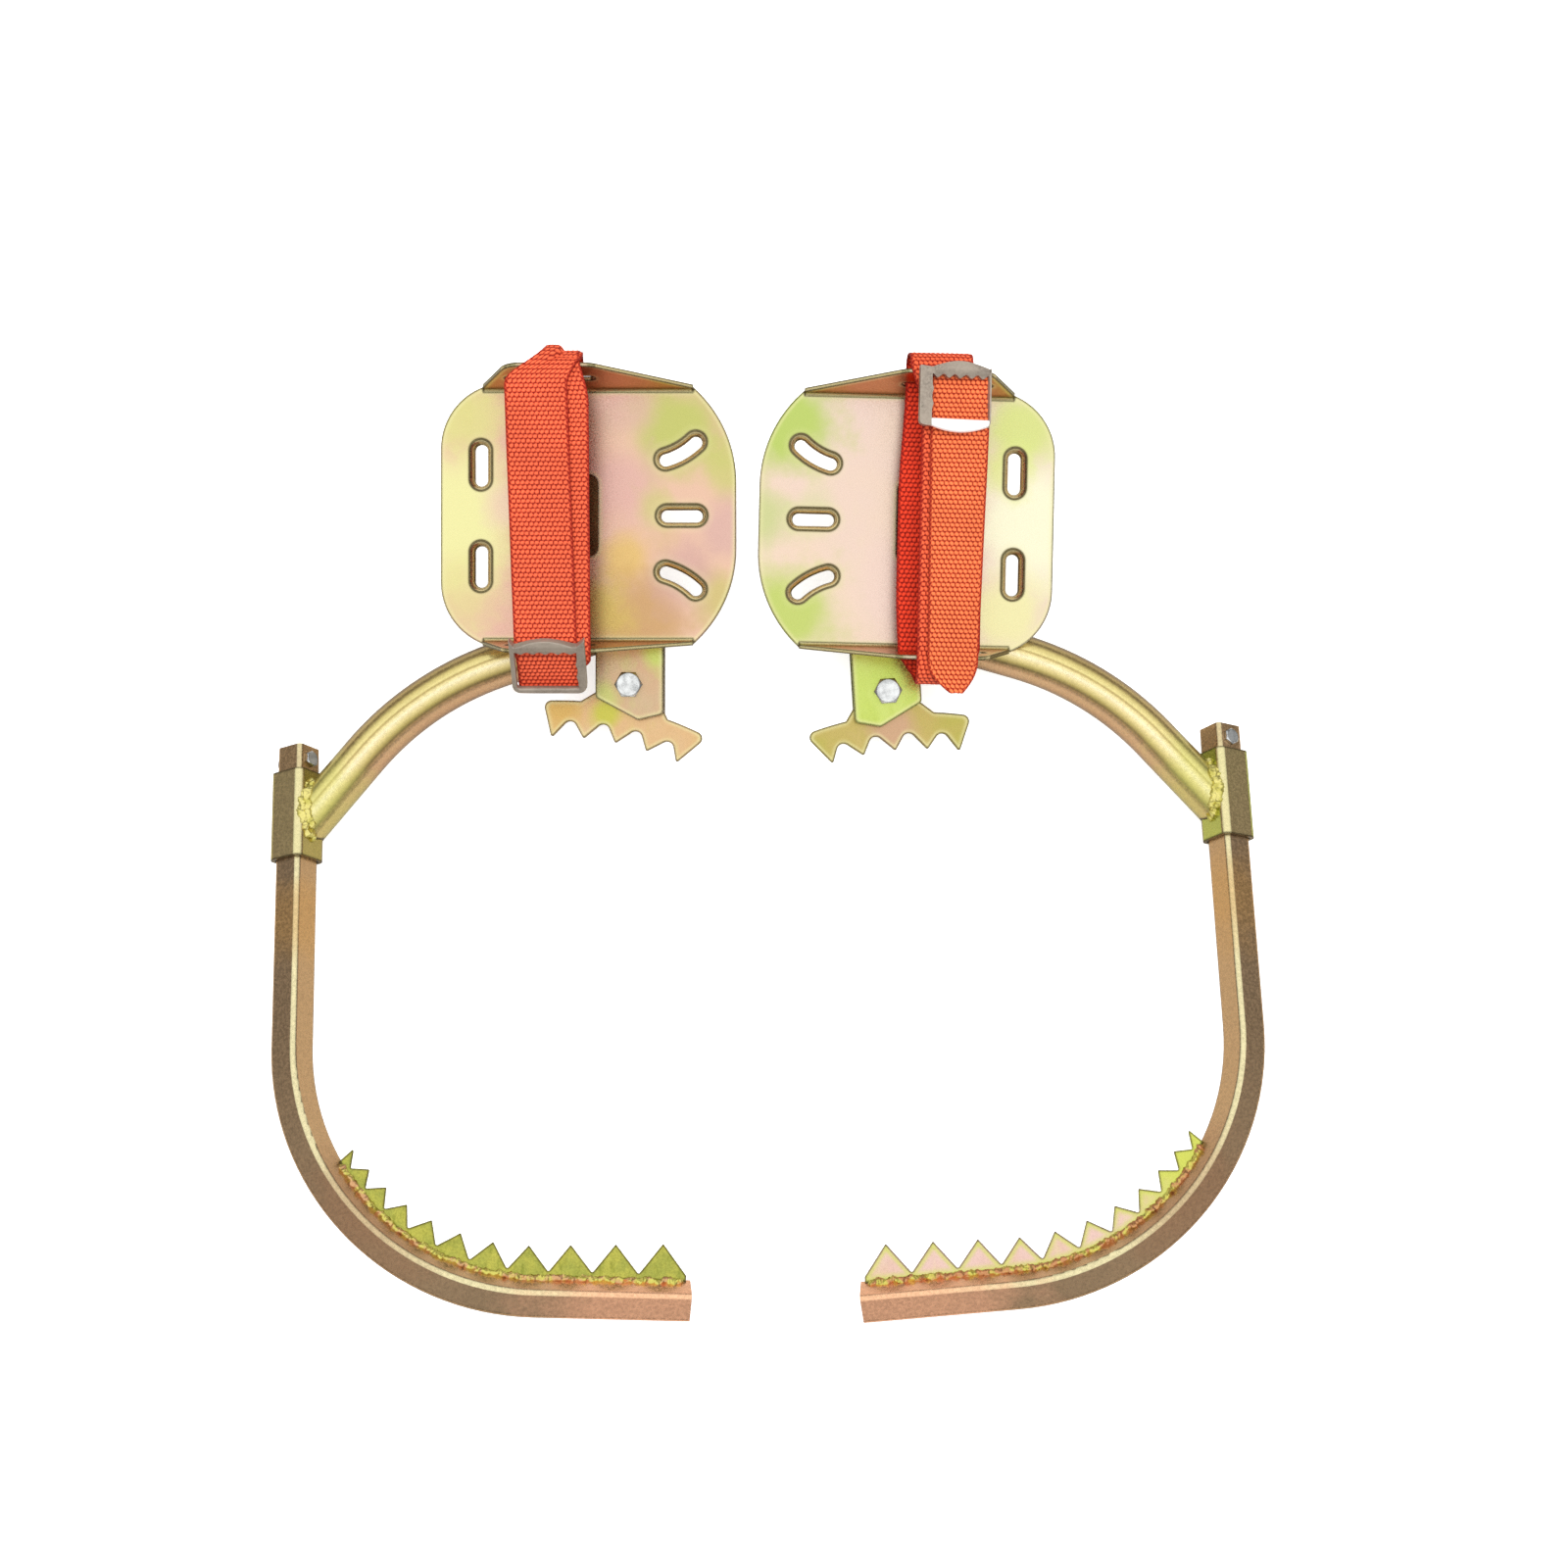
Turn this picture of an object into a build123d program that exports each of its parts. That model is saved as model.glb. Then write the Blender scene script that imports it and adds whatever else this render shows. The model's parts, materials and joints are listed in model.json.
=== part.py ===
from build123d import *
import os
from math import cos, degrees, hypot, radians, sin, sqrt, tan

# A pair of climbing irons for trunks. Each iron is drawn in its own frame: X along the foot plate towards
# the toe, Y across it away from the hook, Z out of the tread face. It is then laid on the floor as it rests.

# Foot plate, a pressed sheet with two flared flanges
PLATE_LENGTH = 192.0
FOLD_WIDTH = 163.0
SHEET = 2.5
FOLD_RADIUS = 3.0
HEEL_CORNER = 40.0
TOE_CORNER = 62.0
FLANGE_HEEL = 68.5
FLANGE_TOE = 68.0
FLANGE_HEIGHT = 40.0
FLANGE_FLARE = 11.0
FLANGE_CREST_HEEL = 49.0
FLANGE_CREST_TOE = 4.5
FLANGE_END_HEIGHT = 3.0
CREST_RADIUS = 14.0

# Lashing slots with drawn-in lips, and the window with its backing sheet
SLOT_WIDTH = 8.0
SLOT_LENGTH = 27.0
HEEL_SLOT_X = -70.0
HEEL_SLOT_Y = 33.0
TOE_SLOT_X = 60.5
FAN_SLOT_Y = 41.0
FAN_SLOT_RADIUS = 46.0
FAN_SLOT_SPAN = 28.5
FAN_SLOT_ANGLE = 30.0
LIP_WALL = 5.4
LIP_RADIUS = 4.8
LIP_DEPTH = 3.5
WINDOW_X = -19.0
WINDOW_LENGTH = 50.0
WINDOW_WIDTH = 53.0
WINDOW_RADIUS = 6.0
BACKING_MARGIN = 8.0

# Strap of flat webbing, its slots in the flanges, and its buckle
STRAP_WIDTH = 40.0
STRAP_THICKNESS = 2.4
STRAP_X = -21.0
STRAP_CLEARANCE = 0.3
STRAP_SLOT_LENGTH = 58.0
STRAP_SLOT_HEIGHT = 7.0
STRAP_SLOT_X = -23.0
STRAP_SLOT_Z = 20.0
STRAP_UPPER_LOOP = 12.0
STRAP_LOWER_LOOP = 20.0
STRAP_SLANT_START = 2.5
STRAP_SLANT_RUN = 29.0
STRAP_FOLD_RADIUS = 6.0
STRAP_END_FLAT = 0.1
TAIL_WIDTH = 37.0
TAIL_LENGTH = 206.0
TAIL_DROP = 24.0
TAIL_TAPER = 16.0
BUCKLE_WIDTH = 53.0
BUCKLE_LENGTH = 45.0
BUCKLE_THICKNESS = 5.0
BUCKLE_RAIL = 5.5
BUCKLE_ARCH = 12.0
BUCKLE_TOOTH_COUNT = 4
BUCKLE_TOOTH_DEPTH = 3.5
BUCKLE_BAR_WIDTH = 9.0
BUCKLE_BAR_THICKNESS = 4.0
BUCKLE_SEAT = 3.0
UPPER_BUCKLE_INSET = 19.0
LOWER_BUCKLE_RISE = 25.0

# Arm, a bent round tube welded under the plate
ARM_DIAMETER = 30.0
ARM_WALL = 2.5
ARM_ANGLE = 199.2
ARM_BEND_X = -62.0
ARM_BEND_DROP = 15.0
ARM_UNDER_PLATE = 96.0
ARM_BEND_RADIUS = 200.0
ARM_BEND_TURN = 30.5
ARM_TAIL = 68.3
ARM_STANDOFF = 6.0
WELD_GAP = 0.1

# Sleeve and hook bar, square tubes; the bar lies nearly on edge in the plane of its bend
SLEEVE_RISE = 11.1
SLEEVE_LIFT = 0.5
SLEEVE_LENGTH = 60.0
SLEEVE_WALL = 2.7
SLIDE_CLEARANCE = 0.3
HOOK_TILT = 19.6
HOOK_SWING = 8.3
BAR_SIDE = 20.0
BAR_WALL = 2.0
BAR_CORNER = 3.0
BAR_ROLL = 38.2
BAR_STANDOUT = 18.0
BAR_STRAIGHT = 154.0
HOOK_RADIUS = 160.0
HOOK_TURN = 86.5
HOOK_LEG = 97.5

# Tooth strip inside the hook
STRIP_THICKNESS = 4.0
STRIP_TEETH = 11
STRIP_FIRST_ANGLE = 29.3
STRIP_FIRST_LEAN = 2.6
STRIP_START = 0.5
STRIP_FIRST_PITCH = 15.0
STRIP_PITCH_GROWTH = 1.65
STRIP_BAND = 1.0
STRIP_TOOTH_FIRST = 8.0
STRIP_TOOTH_LAST = 19.5
STRIP_END = 15.0
STRIP_VALLEY_RADIUS = 1.0
STRIP_TIP_RADIUS = 0.6

# Stop bolt through the top of the hook bar
STOP_DIAMETER = 6.0
STOP_HEAD = 10.0
STOP_HEAD_HEIGHT = 2.5
STOP_NUT_HEIGHT = 4.0
STOP_FROM_END = 9.0
STOP_PROTRUSION = 0.6
HOLE_CLEARANCE = 0.1

# Jaw and the two cheeks that carry it
PIVOT_X = 25.8
PIVOT_DROP = 28.3
CHEEK_THICKNESS = 5.0
CHEEK_HEEL = 21.8
CHEEK_TOE = 22.4
CHEEK_REACH = 40.0
CHEEK_FOOT = (5.8, -23.1)
CHEEK_FOOT_TOE = -19.2
CHEEK_FOOT_HEEL = -8.3
CHEEK_CORNER = 3.0
JAW_THICKNESS = 6.0
JAW_SIDE_GAP = 0.2
JAW_ARC_RADIUS = 190.0
JAW_ARC_CENTRE = (-47.6, -224.2)
JAW_TEETH = 5
JAW_FIRST_ANGLE = 91.2
JAW_TOOTH_ANGLE = 6.35
JAW_TOOTH_DEPTH = 14.0
JAW_VALLEY_SHARE = 0.6
JAW_BAND = 10.5
JAW_BOSS_RADIUS = 15.0
JAW_SHOULDER_HEEL = 1.3
JAW_SHOULDER_TOE = 3.2
JAW_WEB_TEETH = 3
JAW_VALLEY_RADIUS = 4.5
JAW_TIP_RADIUS = 1.0

# Pivot bolt, bush, washer and nut
PIVOT_DIAMETER = 10.0
PIVOT_HEAD = 16.0
PIVOT_HEAD_HEIGHT = 6.4
BUSH_WALL = 1.95
BUSH_LENGTH = 13.6
BUSH_CLEARANCE = 0.05
WASHER_DIAMETER = 20.0
WASHER_THICKNESS = 2.0
NUT_HEIGHT = 10.0
HEX_CHAMFER = 1.0
BOLT_CHAMFER = 1.0

# How the pair lies on the floor, and how the right iron differs from the left one
PAIR_GAP = 21.7
RIGHT_ADVANCE = 2.3
RIGHT_YAW = 3.5
RIGHT_PLATE_TURN = 4.7
RIGHT_PLATE_SHIFT = (7.5, -5.6)
RIGHT_JAW_DROP = 5.0
RIGHT_JAW_SWING = 9.3

HALF_FOLD = FOLD_WIDTH / 2
KNEE = HALF_FOLD + SHEET * tan(radians(90 - FLANGE_FLARE) / 2)
FLANGE_EDGE = HALF_FOLD + FLANGE_HEIGHT * tan(radians(FLANGE_FLARE)) + SHEET / cos(radians(FLANGE_FLARE))
PIVOT_Y = -HALF_FOLD - PIVOT_DROP
BUSH_DIAMETER = PIVOT_DIAMETER + 2 * (BUSH_CLEARANCE + BUSH_WALL)
ARM_Z = -SHEET - WELD_GAP - ARM_DIAMETER / 2
SLEEVE_SIDE = BAR_SIDE + 2 * (SLIDE_CLEARANCE + SLEEVE_WALL)
SLEEVE_CORNER = BAR_CORNER + SLIDE_CLEARANCE + SLEEVE_WALL / 2
BAR_TOP = SLEEVE_LENGTH / 2 + BAR_STANDOUT
JAW_Z = ARM_Z
CHEEK_GAP = BUSH_LENGTH + 2 * JAW_SIDE_GAP
FRONT_CHEEK_TOP = JAW_Z + CHEEK_GAP / 2 + CHEEK_THICKNESS
REAR_CHEEK_BOTTOM = JAW_Z - CHEEK_GAP / 2 - CHEEK_THICKNESS
STRAP_FRONT = FLANGE_HEIGHT + STRAP_CLEARANCE + STRAP_THICKNESS
STRAP_BACK = STRAP_SLOT_Z - STRAP_THICKNESS / 2
STRAP_TOP = FLANGE_EDGE + STRAP_UPPER_LOOP
STRAP_BOTTOM = -FLANGE_EDGE - STRAP_LOWER_LOOP
SLANT_TOP = -FLANGE_EDGE - STRAP_SLANT_START
SLANT_BOTTOM = SLANT_TOP - STRAP_SLANT_RUN
PAIR_SPACING = PLATE_LENGTH + PAIR_GAP


def hook_plane():
    """Plane of the bend: X into the hook, Y up along the sleeve, Z towards the tread side."""
    swing, tilt = radians(HOOK_SWING), radians(HOOK_TILT)
    normal = Vector(sin(swing), sin(tilt) * cos(swing), cos(tilt) * cos(swing))
    up = Vector(0, 1, 0) - normal * normal.Y
    centre = arm_path() @ 1 + Vector(0, SLEEVE_RISE, SLEEVE_LIFT)
    return Plane(origin=centre, x_dir=up.cross(normal), z_dir=normal)


def round_points(face, points, radius):
    """Rounds the corners of a flat face that lie at the given points."""
    corners = [min(face.vertices(), key=lambda v: (Vector(v) - Vector(*p)).length) for p in points]
    return fillet(corners, radius)


def hexagon(width, height):
    """Hexagonal head or nut that stands on Z = 0, with its outer corners turned off."""
    blank = extrude(RegularPolygon(width / 2, 6, major_radius=False), height)
    cone = Cone(width / 2 + 2 * HEX_CHAMFER + height, width / 2 - HEX_CHAMFER / 2,
                2 * HEX_CHAMFER + height, align=(Align.CENTER, Align.CENTER, Align.MAX))
    return blank & Pos(0, 0, height) * cone


def square_tube(side, corner, wall):
    return RectangleRounded(side, side, corner) - RectangleRounded(side - 2 * wall, side - 2 * wall,
                                                                  max(corner - wall, wall / 2))


def lipped_slot(hole):
    """Clearing and drawn-in lip for one slot whose clear outline is given on the tread face."""
    outer = offset(hole, LIP_WALL)
    depth = SHEET + LIP_DEPTH
    lip = extrude(outer, -depth) - extrude(hole, -depth)
    rim = [e for e in lip.edges() if abs(e.center().Z) < 0.001 and abs(e.bounding_box().size.Z) < 0.001]
    inner = [e for e in rim if any((e @ 0.5 - h @ 0.5).length < 0.1 for h in hole.edges())]
    return extrude(outer, -depth), fillet(inner, LIP_RADIUS)


def slot_outlines():
    upright = Rot(0, 0, 90) * SlotOverall(SLOT_LENGTH, SLOT_WIDTH)
    outlines = [Pos(HEEL_SLOT_X, side * HEEL_SLOT_Y) * upright for side in (1, -1)]
    outlines.append(Pos(TOE_SLOT_X, 0) * SlotOverall(SLOT_LENGTH, SLOT_WIDTH))
    middle = FAN_SLOT_ANGLE - 90
    arc = CenterArc((0, 0), FAN_SLOT_RADIUS, middle - FAN_SLOT_SPAN / 2, FAN_SLOT_SPAN)
    fan = Pos(*(Vector(TOE_SLOT_X, FAN_SLOT_Y) - arc @ 0.5)) * SlotArc(arc, SLOT_WIDTH)
    return outlines + [fan, mirror(fan, Plane.XZ)]


def plate_outline():
    """Flat part of the plate: straight along the folds, with round corners that end at the flanges."""
    half = PLATE_LENGTH / 2
    fold = HALF_FOLD - FOLD_RADIUS
    edges = []
    for side in (1, -1):
        edges.append(Line((-FLANGE_HEEL, side * fold), (FLANGE_TOE, side * fold)))
        for end, edge, corner in ((FLANGE_TOE, half, TOE_CORNER), (-FLANGE_HEEL, -half, HEEL_CORNER)):
            edges.append(Line((end, side * fold), (end, side * KNEE)))
            edges.append(TangentArc((edge, side * (KNEE - corner)), (end, side * KNEE), tangent=(0, side)))
    edges.append(Line((half, KNEE - TOE_CORNER), (half, TOE_CORNER - KNEE)))
    edges.append(Line((-half, KNEE - HEEL_CORNER), (-half, HEEL_CORNER - KNEE)))
    return make_face(edges)


def flange_channel():
    """Both flanges and the strip of plate between them, before the free edges are trimmed."""
    flare = radians(FLANGE_FLARE)
    rise = FLANGE_HEIGHT + SHEET
    spread = HALF_FOLD + rise * tan(flare)
    tip = (spread + SHEET * cos(flare), rise - SHEET * sin(flare))
    inner = [(-spread, rise), (-HALF_FOLD, 0), (HALF_FOLD, 0), (spread, rise)]
    outer = [(-tip[0], tip[1]), (-KNEE, -SHEET), (KNEE, -SHEET), tip]
    edges = [FilletPolyline(*inner, radius=FOLD_RADIUS), Line(inner[-1], outer[-1]),
             FilletPolyline(*outer, radius=FOLD_RADIUS + SHEET), Line(outer[0], inner[0])]
    profile = make_face([e for line in edges for e in line.edges()])
    return extrude(Plane.YZ.offset(-FLANGE_HEEL) * profile, FLANGE_HEEL + FLANGE_TOE)


def foot_plate():
    crest = [(-FLANGE_CREST_HEEL, FLANGE_HEIGHT), (FLANGE_CREST_TOE, FLANGE_HEIGHT)]
    side_view = [(-FLANGE_HEEL, -2 * SHEET), (-FLANGE_HEEL, FLANGE_END_HEIGHT), *crest,
                 (FLANGE_TOE, FLANGE_END_HEIGHT), (FLANGE_TOE, -2 * SHEET)]
    trim = round_points(make_face(Polyline(*side_view, close=True)), crest, CREST_RADIUS)
    flanges = flange_channel() & extrude(Plane.XZ * trim, FOLD_WIDTH, both=True)
    plate = flanges + extrude(plate_outline(), -SHEET)
    strap_slot = Pos(STRAP_SLOT_X, STRAP_SLOT_Z) * SlotOverall(STRAP_SLOT_LENGTH, STRAP_SLOT_HEIGHT)
    plate -= extrude(Plane.XZ * strap_slot, FOLD_WIDTH, both=True)
    window = Pos(WINDOW_X, 0) * RectangleRounded(WINDOW_LENGTH, WINDOW_WIDTH, WINDOW_RADIUS)
    plate -= extrude(window, -SHEET)
    for hole in slot_outlines():
        clearing, lip = lipped_slot(hole)
        plate = plate - clearing + lip
    return plate


def window_backing():
    sheet = RectangleRounded(WINDOW_LENGTH + 2 * BACKING_MARGIN, WINDOW_WIDTH + 2 * BACKING_MARGIN,
                             WINDOW_RADIUS)
    return Pos(WINDOW_X, 0, -SHEET) * extrude(sheet, -SHEET)


def arm_path():
    heading = Vector(1, 0).rotate(Axis.Z, ARM_ANGLE)
    start = Vector(ARM_BEND_X, -HALF_FOLD - ARM_BEND_DROP)
    under = Line(start - heading * ARM_UNDER_PLATE, start)
    bend = JernArc(start, heading, ARM_BEND_RADIUS, ARM_BEND_TURN)
    tail = Line(bend @ 1, bend @ 1 + (bend % 1) * ARM_TAIL)
    return Pos(0, 0, ARM_Z) * Wire([under, bend, tail])


def arm_rod(section):
    path = arm_path()
    rod = sweep(Plane(path @ 0, z_dir=path % 0) * section, path)
    return rod + extrude(Plane(path @ 1, z_dir=path % 1) * section, ARM_DIAMETER)


def arm_tube():
    """Arm, cut off at the sleeve's far side and coped round the sleeve."""
    ring = Circle(ARM_DIAMETER / 2) - Circle(ARM_DIAMETER / 2 - ARM_WALL)
    reach = 4 * SLEEVE_LENGTH
    beyond = Pos(ARM_STANDOFF, 0, 0) * Box(reach, reach, reach, align=(Align.MAX, Align.CENTER, Align.CENTER))
    side = SLEEVE_SIDE + 2 * WELD_GAP
    block = along_bar(RectangleRounded(side, side, SLEEVE_CORNER), SLEEVE_LENGTH / 2, SLEEVE_LENGTH)
    return arm_rod(ring) - hook_plane() * beyond - hook_plane() * block


def along_bar(section, top, length):
    """A section rolled about the bar's line, run down from a height on that line."""
    cut = Plane(origin=(0, top, 0), x_dir=(1, 0, 0), z_dir=(0, -1, 0))
    return extrude(cut * Rot(0, 0, BAR_ROLL) * section, length)


def sleeve():
    section = square_tube(SLEEVE_SIDE, SLEEVE_CORNER, SLEEVE_WALL)
    return hook_plane() * along_bar(section, SLEEVE_LENGTH / 2, SLEEVE_LENGTH)


def bent_bar(section):
    """Upright, bend and leg of the hook bar in the plane of the bend."""
    upright = along_bar(section, BAR_TOP, BAR_TOP + BAR_STRAIGHT)
    centre = (HOOK_RADIUS, -BAR_STRAIGHT, 0)
    start = Plane(origin=(0, -BAR_STRAIGHT, 0), x_dir=(1, 0, 0), z_dir=(0, -1, 0))
    bend = revolve(start * Rot(0, 0, BAR_ROLL) * section, Axis(centre, (0, 0, 1)), HOOK_TURN)
    turn = radians(HOOK_TURN)
    inward = (cos(turn), sin(turn), 0)
    heading = (sin(turn), -cos(turn), 0)
    corner = Vector(*centre) - Vector(*inward) * HOOK_RADIUS
    leg = extrude(Plane(corner, inward, heading) * Rot(0, 0, BAR_ROLL) * section, HOOK_LEG)
    return upright + bend + leg


def stop_plane(front_face):
    """Axis of the stop bolt: square to the inner face of the bar, or to its front face."""
    angle = radians(BAR_ROLL + (90 if front_face else 0))
    return Plane(origin=(0, BAR_TOP - STOP_FROM_END, 0), x_dir=(0, 1, 0), z_dir=(cos(angle), 0, sin(angle)))


def hook_bar(front_face):
    bar = bent_bar(square_tube(BAR_SIDE, BAR_CORNER, BAR_WALL))
    hole = Cylinder(STOP_DIAMETER / 2 + HOLE_CLEARANCE, 2 * BAR_SIDE)
    return hook_plane() * (bar - stop_plane(front_face) * hole)


def strip_point(run, depth):
    """Point of the strip: run along its valleys from the bend's start, depth from the bar's middle line."""
    radius = HOOK_RADIUS - depth
    turn = radians(HOOK_TURN)
    valley_radius = HOOK_RADIUS - BAR_SIDE / sqrt(2) - STRIP_BAND
    angle = min(run / valley_radius, turn)
    straight = max(0.0, run - valley_radius * turn)
    return (HOOK_RADIUS - radius * cos(angle) + straight * sin(angle),
            -BAR_STRAIGHT - radius * sin(angle) - straight * cos(angle))


def hook_tooth_strip():
    """Flat strip with teeth that grow towards the hook's free end; the first one leans back."""
    root = BAR_SIDE / 2
    valley = BAR_SIDE / sqrt(2) + STRIP_BAND
    run = radians(STRIP_FIRST_ANGLE) * (HOOK_RADIUS - valley)
    begin = run + STRIP_START
    growth = (STRIP_TOOTH_LAST - STRIP_TOOTH_FIRST) / (STRIP_TEETH - 1)
    teeth, tips, valleys = [strip_point(begin, root)], [], []
    for k in range(STRIP_TEETH):
        lean = 0 if k else STRIP_FIRST_LEAN
        tips.append(strip_point(run - lean, valley + STRIP_TOOTH_FIRST + growth * k))
        teeth.append(tips[-1])
        pitch = STRIP_FIRST_PITCH + STRIP_PITCH_GROWTH * k
        if k < STRIP_TEETH - 1:
            valleys.append(strip_point(run + pitch / 2, valley))
            teeth.append(valleys[-1])
            run += pitch
    finish = run + STRIP_END
    teeth += [strip_point(finish, valley), strip_point(finish, root)]
    bend_end = radians(HOOK_TURN) * (HOOK_RADIUS - valley)
    middle = strip_point((begin + bend_end) / 2, root)
    base = [Line(teeth[-1], strip_point(bend_end, root)),
            ThreePointArc(strip_point(bend_end, root), middle, teeth[0])]
    face = make_face([*Polyline(*teeth).edges(), *base])
    face = round_points(face, valleys, STRIP_VALLEY_RADIUS)
    face = round_points(face, tips, STRIP_TIP_RADIUS)
    solid = extrude(face, STRIP_THICKNESS / 2, both=True)
    side = BAR_SIDE + 2 * WELD_GAP
    return hook_plane() * (solid - bent_bar(RectangleRounded(side, side, BAR_CORNER)))


def stop_bolt(front_face):
    half = BAR_SIDE / 2
    length = BAR_SIDE + STOP_NUT_HEIGHT + STOP_PROTRUSION
    bolt = Pos(0, 0, half) * hexagon(STOP_HEAD, STOP_HEAD_HEIGHT)
    shank = Cylinder(STOP_DIAMETER / 2, length, align=(Align.CENTER, Align.CENTER, Align.MAX))
    return hook_plane() * stop_plane(front_face) * (bolt + Pos(0, 0, half) * shank)


def stop_nut(front_face):
    nut = hexagon(STOP_HEAD, STOP_NUT_HEIGHT)
    nut -= Cylinder(STOP_DIAMETER / 2 + HOLE_CLEARANCE, 4 * STOP_NUT_HEIGHT)
    return hook_plane() * stop_plane(front_face) * Pos(0, 0, -BAR_SIDE / 2) * Rot(180, 0, 0) * nut


def jaw_drop(right):
    """How much lower the jaw hangs under its arm on the right iron."""
    return RIGHT_JAW_DROP if right else 0.0


def pivot_line(right):
    """Axis of the jaw's pivot, square to the plate."""
    return Pos(PIVOT_X, PIVOT_Y - jaw_drop(right))


def cheek(bottom, right):
    """Cheek from below the pivot up to the arm, which it is coped round."""
    reach = CHEEK_REACH + jaw_drop(right)
    corners = [(CHEEK_TOE, CHEEK_FOOT_TOE), CHEEK_FOOT, (-CHEEK_HEEL, CHEEK_FOOT_HEEL)]
    outline = [(-CHEEK_HEEL, reach), (CHEEK_TOE, reach), *corners]
    face = round_points(make_face(Polyline(*outline, close=True)), corners, CHEEK_CORNER)
    plate = extrude(face - Circle(PIVOT_DIAMETER / 2 + HOLE_CLEARANCE), CHEEK_THICKNESS)
    return pivot_line(right) * Pos(0, 0, bottom) * plate - arm_rod(Circle(ARM_DIAMETER / 2 + WELD_GAP))


def jaw_point(angle, radius):
    return (JAW_ARC_CENTRE[0] + radius * cos(radians(angle)), JAW_ARC_CENTRE[1] + radius * sin(radians(angle)))


def jaw(swing):
    """Toothed plate: teeth on an arc that hugs the trunk, and a boss round the pivot."""
    valley = JAW_ARC_RADIUS + JAW_TOOTH_DEPTH
    back = valley + JAW_BAND
    angles = [JAW_FIRST_ANGLE - JAW_TOOTH_ANGLE * k for k in range(JAW_TEETH)]
    tips = [jaw_point(a, JAW_ARC_RADIUS) for a in angles]
    valleys = [jaw_point(a - JAW_TOOTH_ANGLE * JAW_VALLEY_SHARE, valley) for a in angles[:-1]]
    teeth = [p for pair in zip(tips, valleys) for p in pair] + [tips[-1]]
    ends = [jaw_point(angles[0] + JAW_SHOULDER_HEEL, back), jaw_point(angles[-1] - JAW_SHOULDER_TOE, back)]
    arc = ThreePointArc(ends[1], jaw_point((angles[0] + angles[-1]) / 2, back), ends[0])
    face = make_face([*Polyline(ends[0], *teeth, ends[1]).edges(), *arc.edges()])
    face = round_points(face, valleys, JAW_VALLEY_RADIUS)
    face = round_points(face, tips, JAW_TIP_RADIUS)
    face = round_points(face, ends, JAW_VALLEY_RADIUS)
    pivot_angle = angles[0] - JAW_TOOTH_ANGLE * (JAW_TEETH - 1) / 2
    spread = JAW_WEB_TEETH / 2 * JAW_TOOTH_ANGLE
    web = Polyline(jaw_point(pivot_angle + spread, valley + JAW_BAND / 2), (-JAW_BOSS_RADIUS, 0),
                   (JAW_BOSS_RADIUS, 0), jaw_point(pivot_angle - spread, valley + JAW_BAND / 2), close=True)
    face = face + make_face(web) + Circle(JAW_BOSS_RADIUS) - Circle(BUSH_DIAMETER / 2)
    return Pos(0, 0, JAW_Z) * Rot(Z=swing) * extrude(face, JAW_THICKNESS / 2, both=True)


def pivot_bush():
    bush = Cylinder(BUSH_DIAMETER / 2, BUSH_LENGTH) - Cylinder(PIVOT_DIAMETER / 2 + BUSH_CLEARANCE, BUSH_LENGTH)
    return Pos(0, 0, JAW_Z) * bush


def pivot_bolt(end):
    """Bolt from the front cheek to the depth where its end meets the floor."""
    shank = Cylinder(PIVOT_DIAMETER / 2, FRONT_CHEEK_TOP - end, align=(Align.CENTER, Align.CENTER, Align.MAX))
    shank = chamfer(shank.edges().sort_by(Axis.Z)[0], BOLT_CHAMFER)
    bolt = shank + hexagon(PIVOT_HEAD, PIVOT_HEAD_HEIGHT)
    return Pos(0, 0, FRONT_CHEEK_TOP) * bolt


def pivot_washer():
    ring = Circle(WASHER_DIAMETER / 2) - Circle(PIVOT_DIAMETER / 2 + HOLE_CLEARANCE)
    return Pos(0, 0, REAR_CHEEK_BOTTOM) * extrude(ring, -WASHER_THICKNESS)


def pivot_nut():
    nut = hexagon(PIVOT_HEAD, NUT_HEIGHT) - Cylinder(PIVOT_DIAMETER / 2 + HOLE_CLEARANCE, 4 * NUT_HEIGHT)
    return Pos(0, 0, REAR_CHEEK_BOTTOM - WASHER_THICKNESS) * Rot(180, 0, 0) * nut


def strap(slanted):
    """Closed loop of webbing through both flanges; slanted where the buckle hangs at its lower end."""
    turn = (STRAP_FRONT - STRAP_BACK - STRAP_END_FLAT) / 2
    top = [(STRAP_TOP, STRAP_BACK), (STRAP_TOP, STRAP_FRONT)]
    if slanted:
        corners = [*top, (SLANT_TOP, STRAP_FRONT), (SLANT_BOTTOM, STRAP_BACK)]
        radii = [turn, turn, turn, STRAP_FOLD_RADIUS]
    else:
        corners = [*top, (STRAP_BOTTOM, STRAP_FRONT), (STRAP_BOTTOM, STRAP_BACK)]
        radii = [turn] * len(corners)
    outer = make_face(Polyline(*corners, close=True))
    for corner, radius in zip(corners, radii):
        outer = round_points(outer, [corner], radius)
    ring = outer - offset(outer, -STRAP_THICKNESS)
    return extrude(Plane.YZ.offset(STRAP_X) * ring, STRAP_WIDTH / 2, both=True)


def strap_tail():
    """Free end of the webbing, lying on the front of the loop, with a tapered tip."""
    half = TAIL_WIDTH / 2
    low = -FLANGE_EDGE - TAIL_DROP
    high = low + TAIL_LENGTH
    taper = low + TAIL_TAPER
    outline = Polyline((-half, high), (-half, taper), (-half / 3, low), (half / 3, low), (half, taper),
                       (half, high), close=True)
    return Pos(STRAP_X, 0, STRAP_FRONT + STRAP_CLEARANCE) * extrude(make_face(outline), STRAP_THICKNESS)


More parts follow.
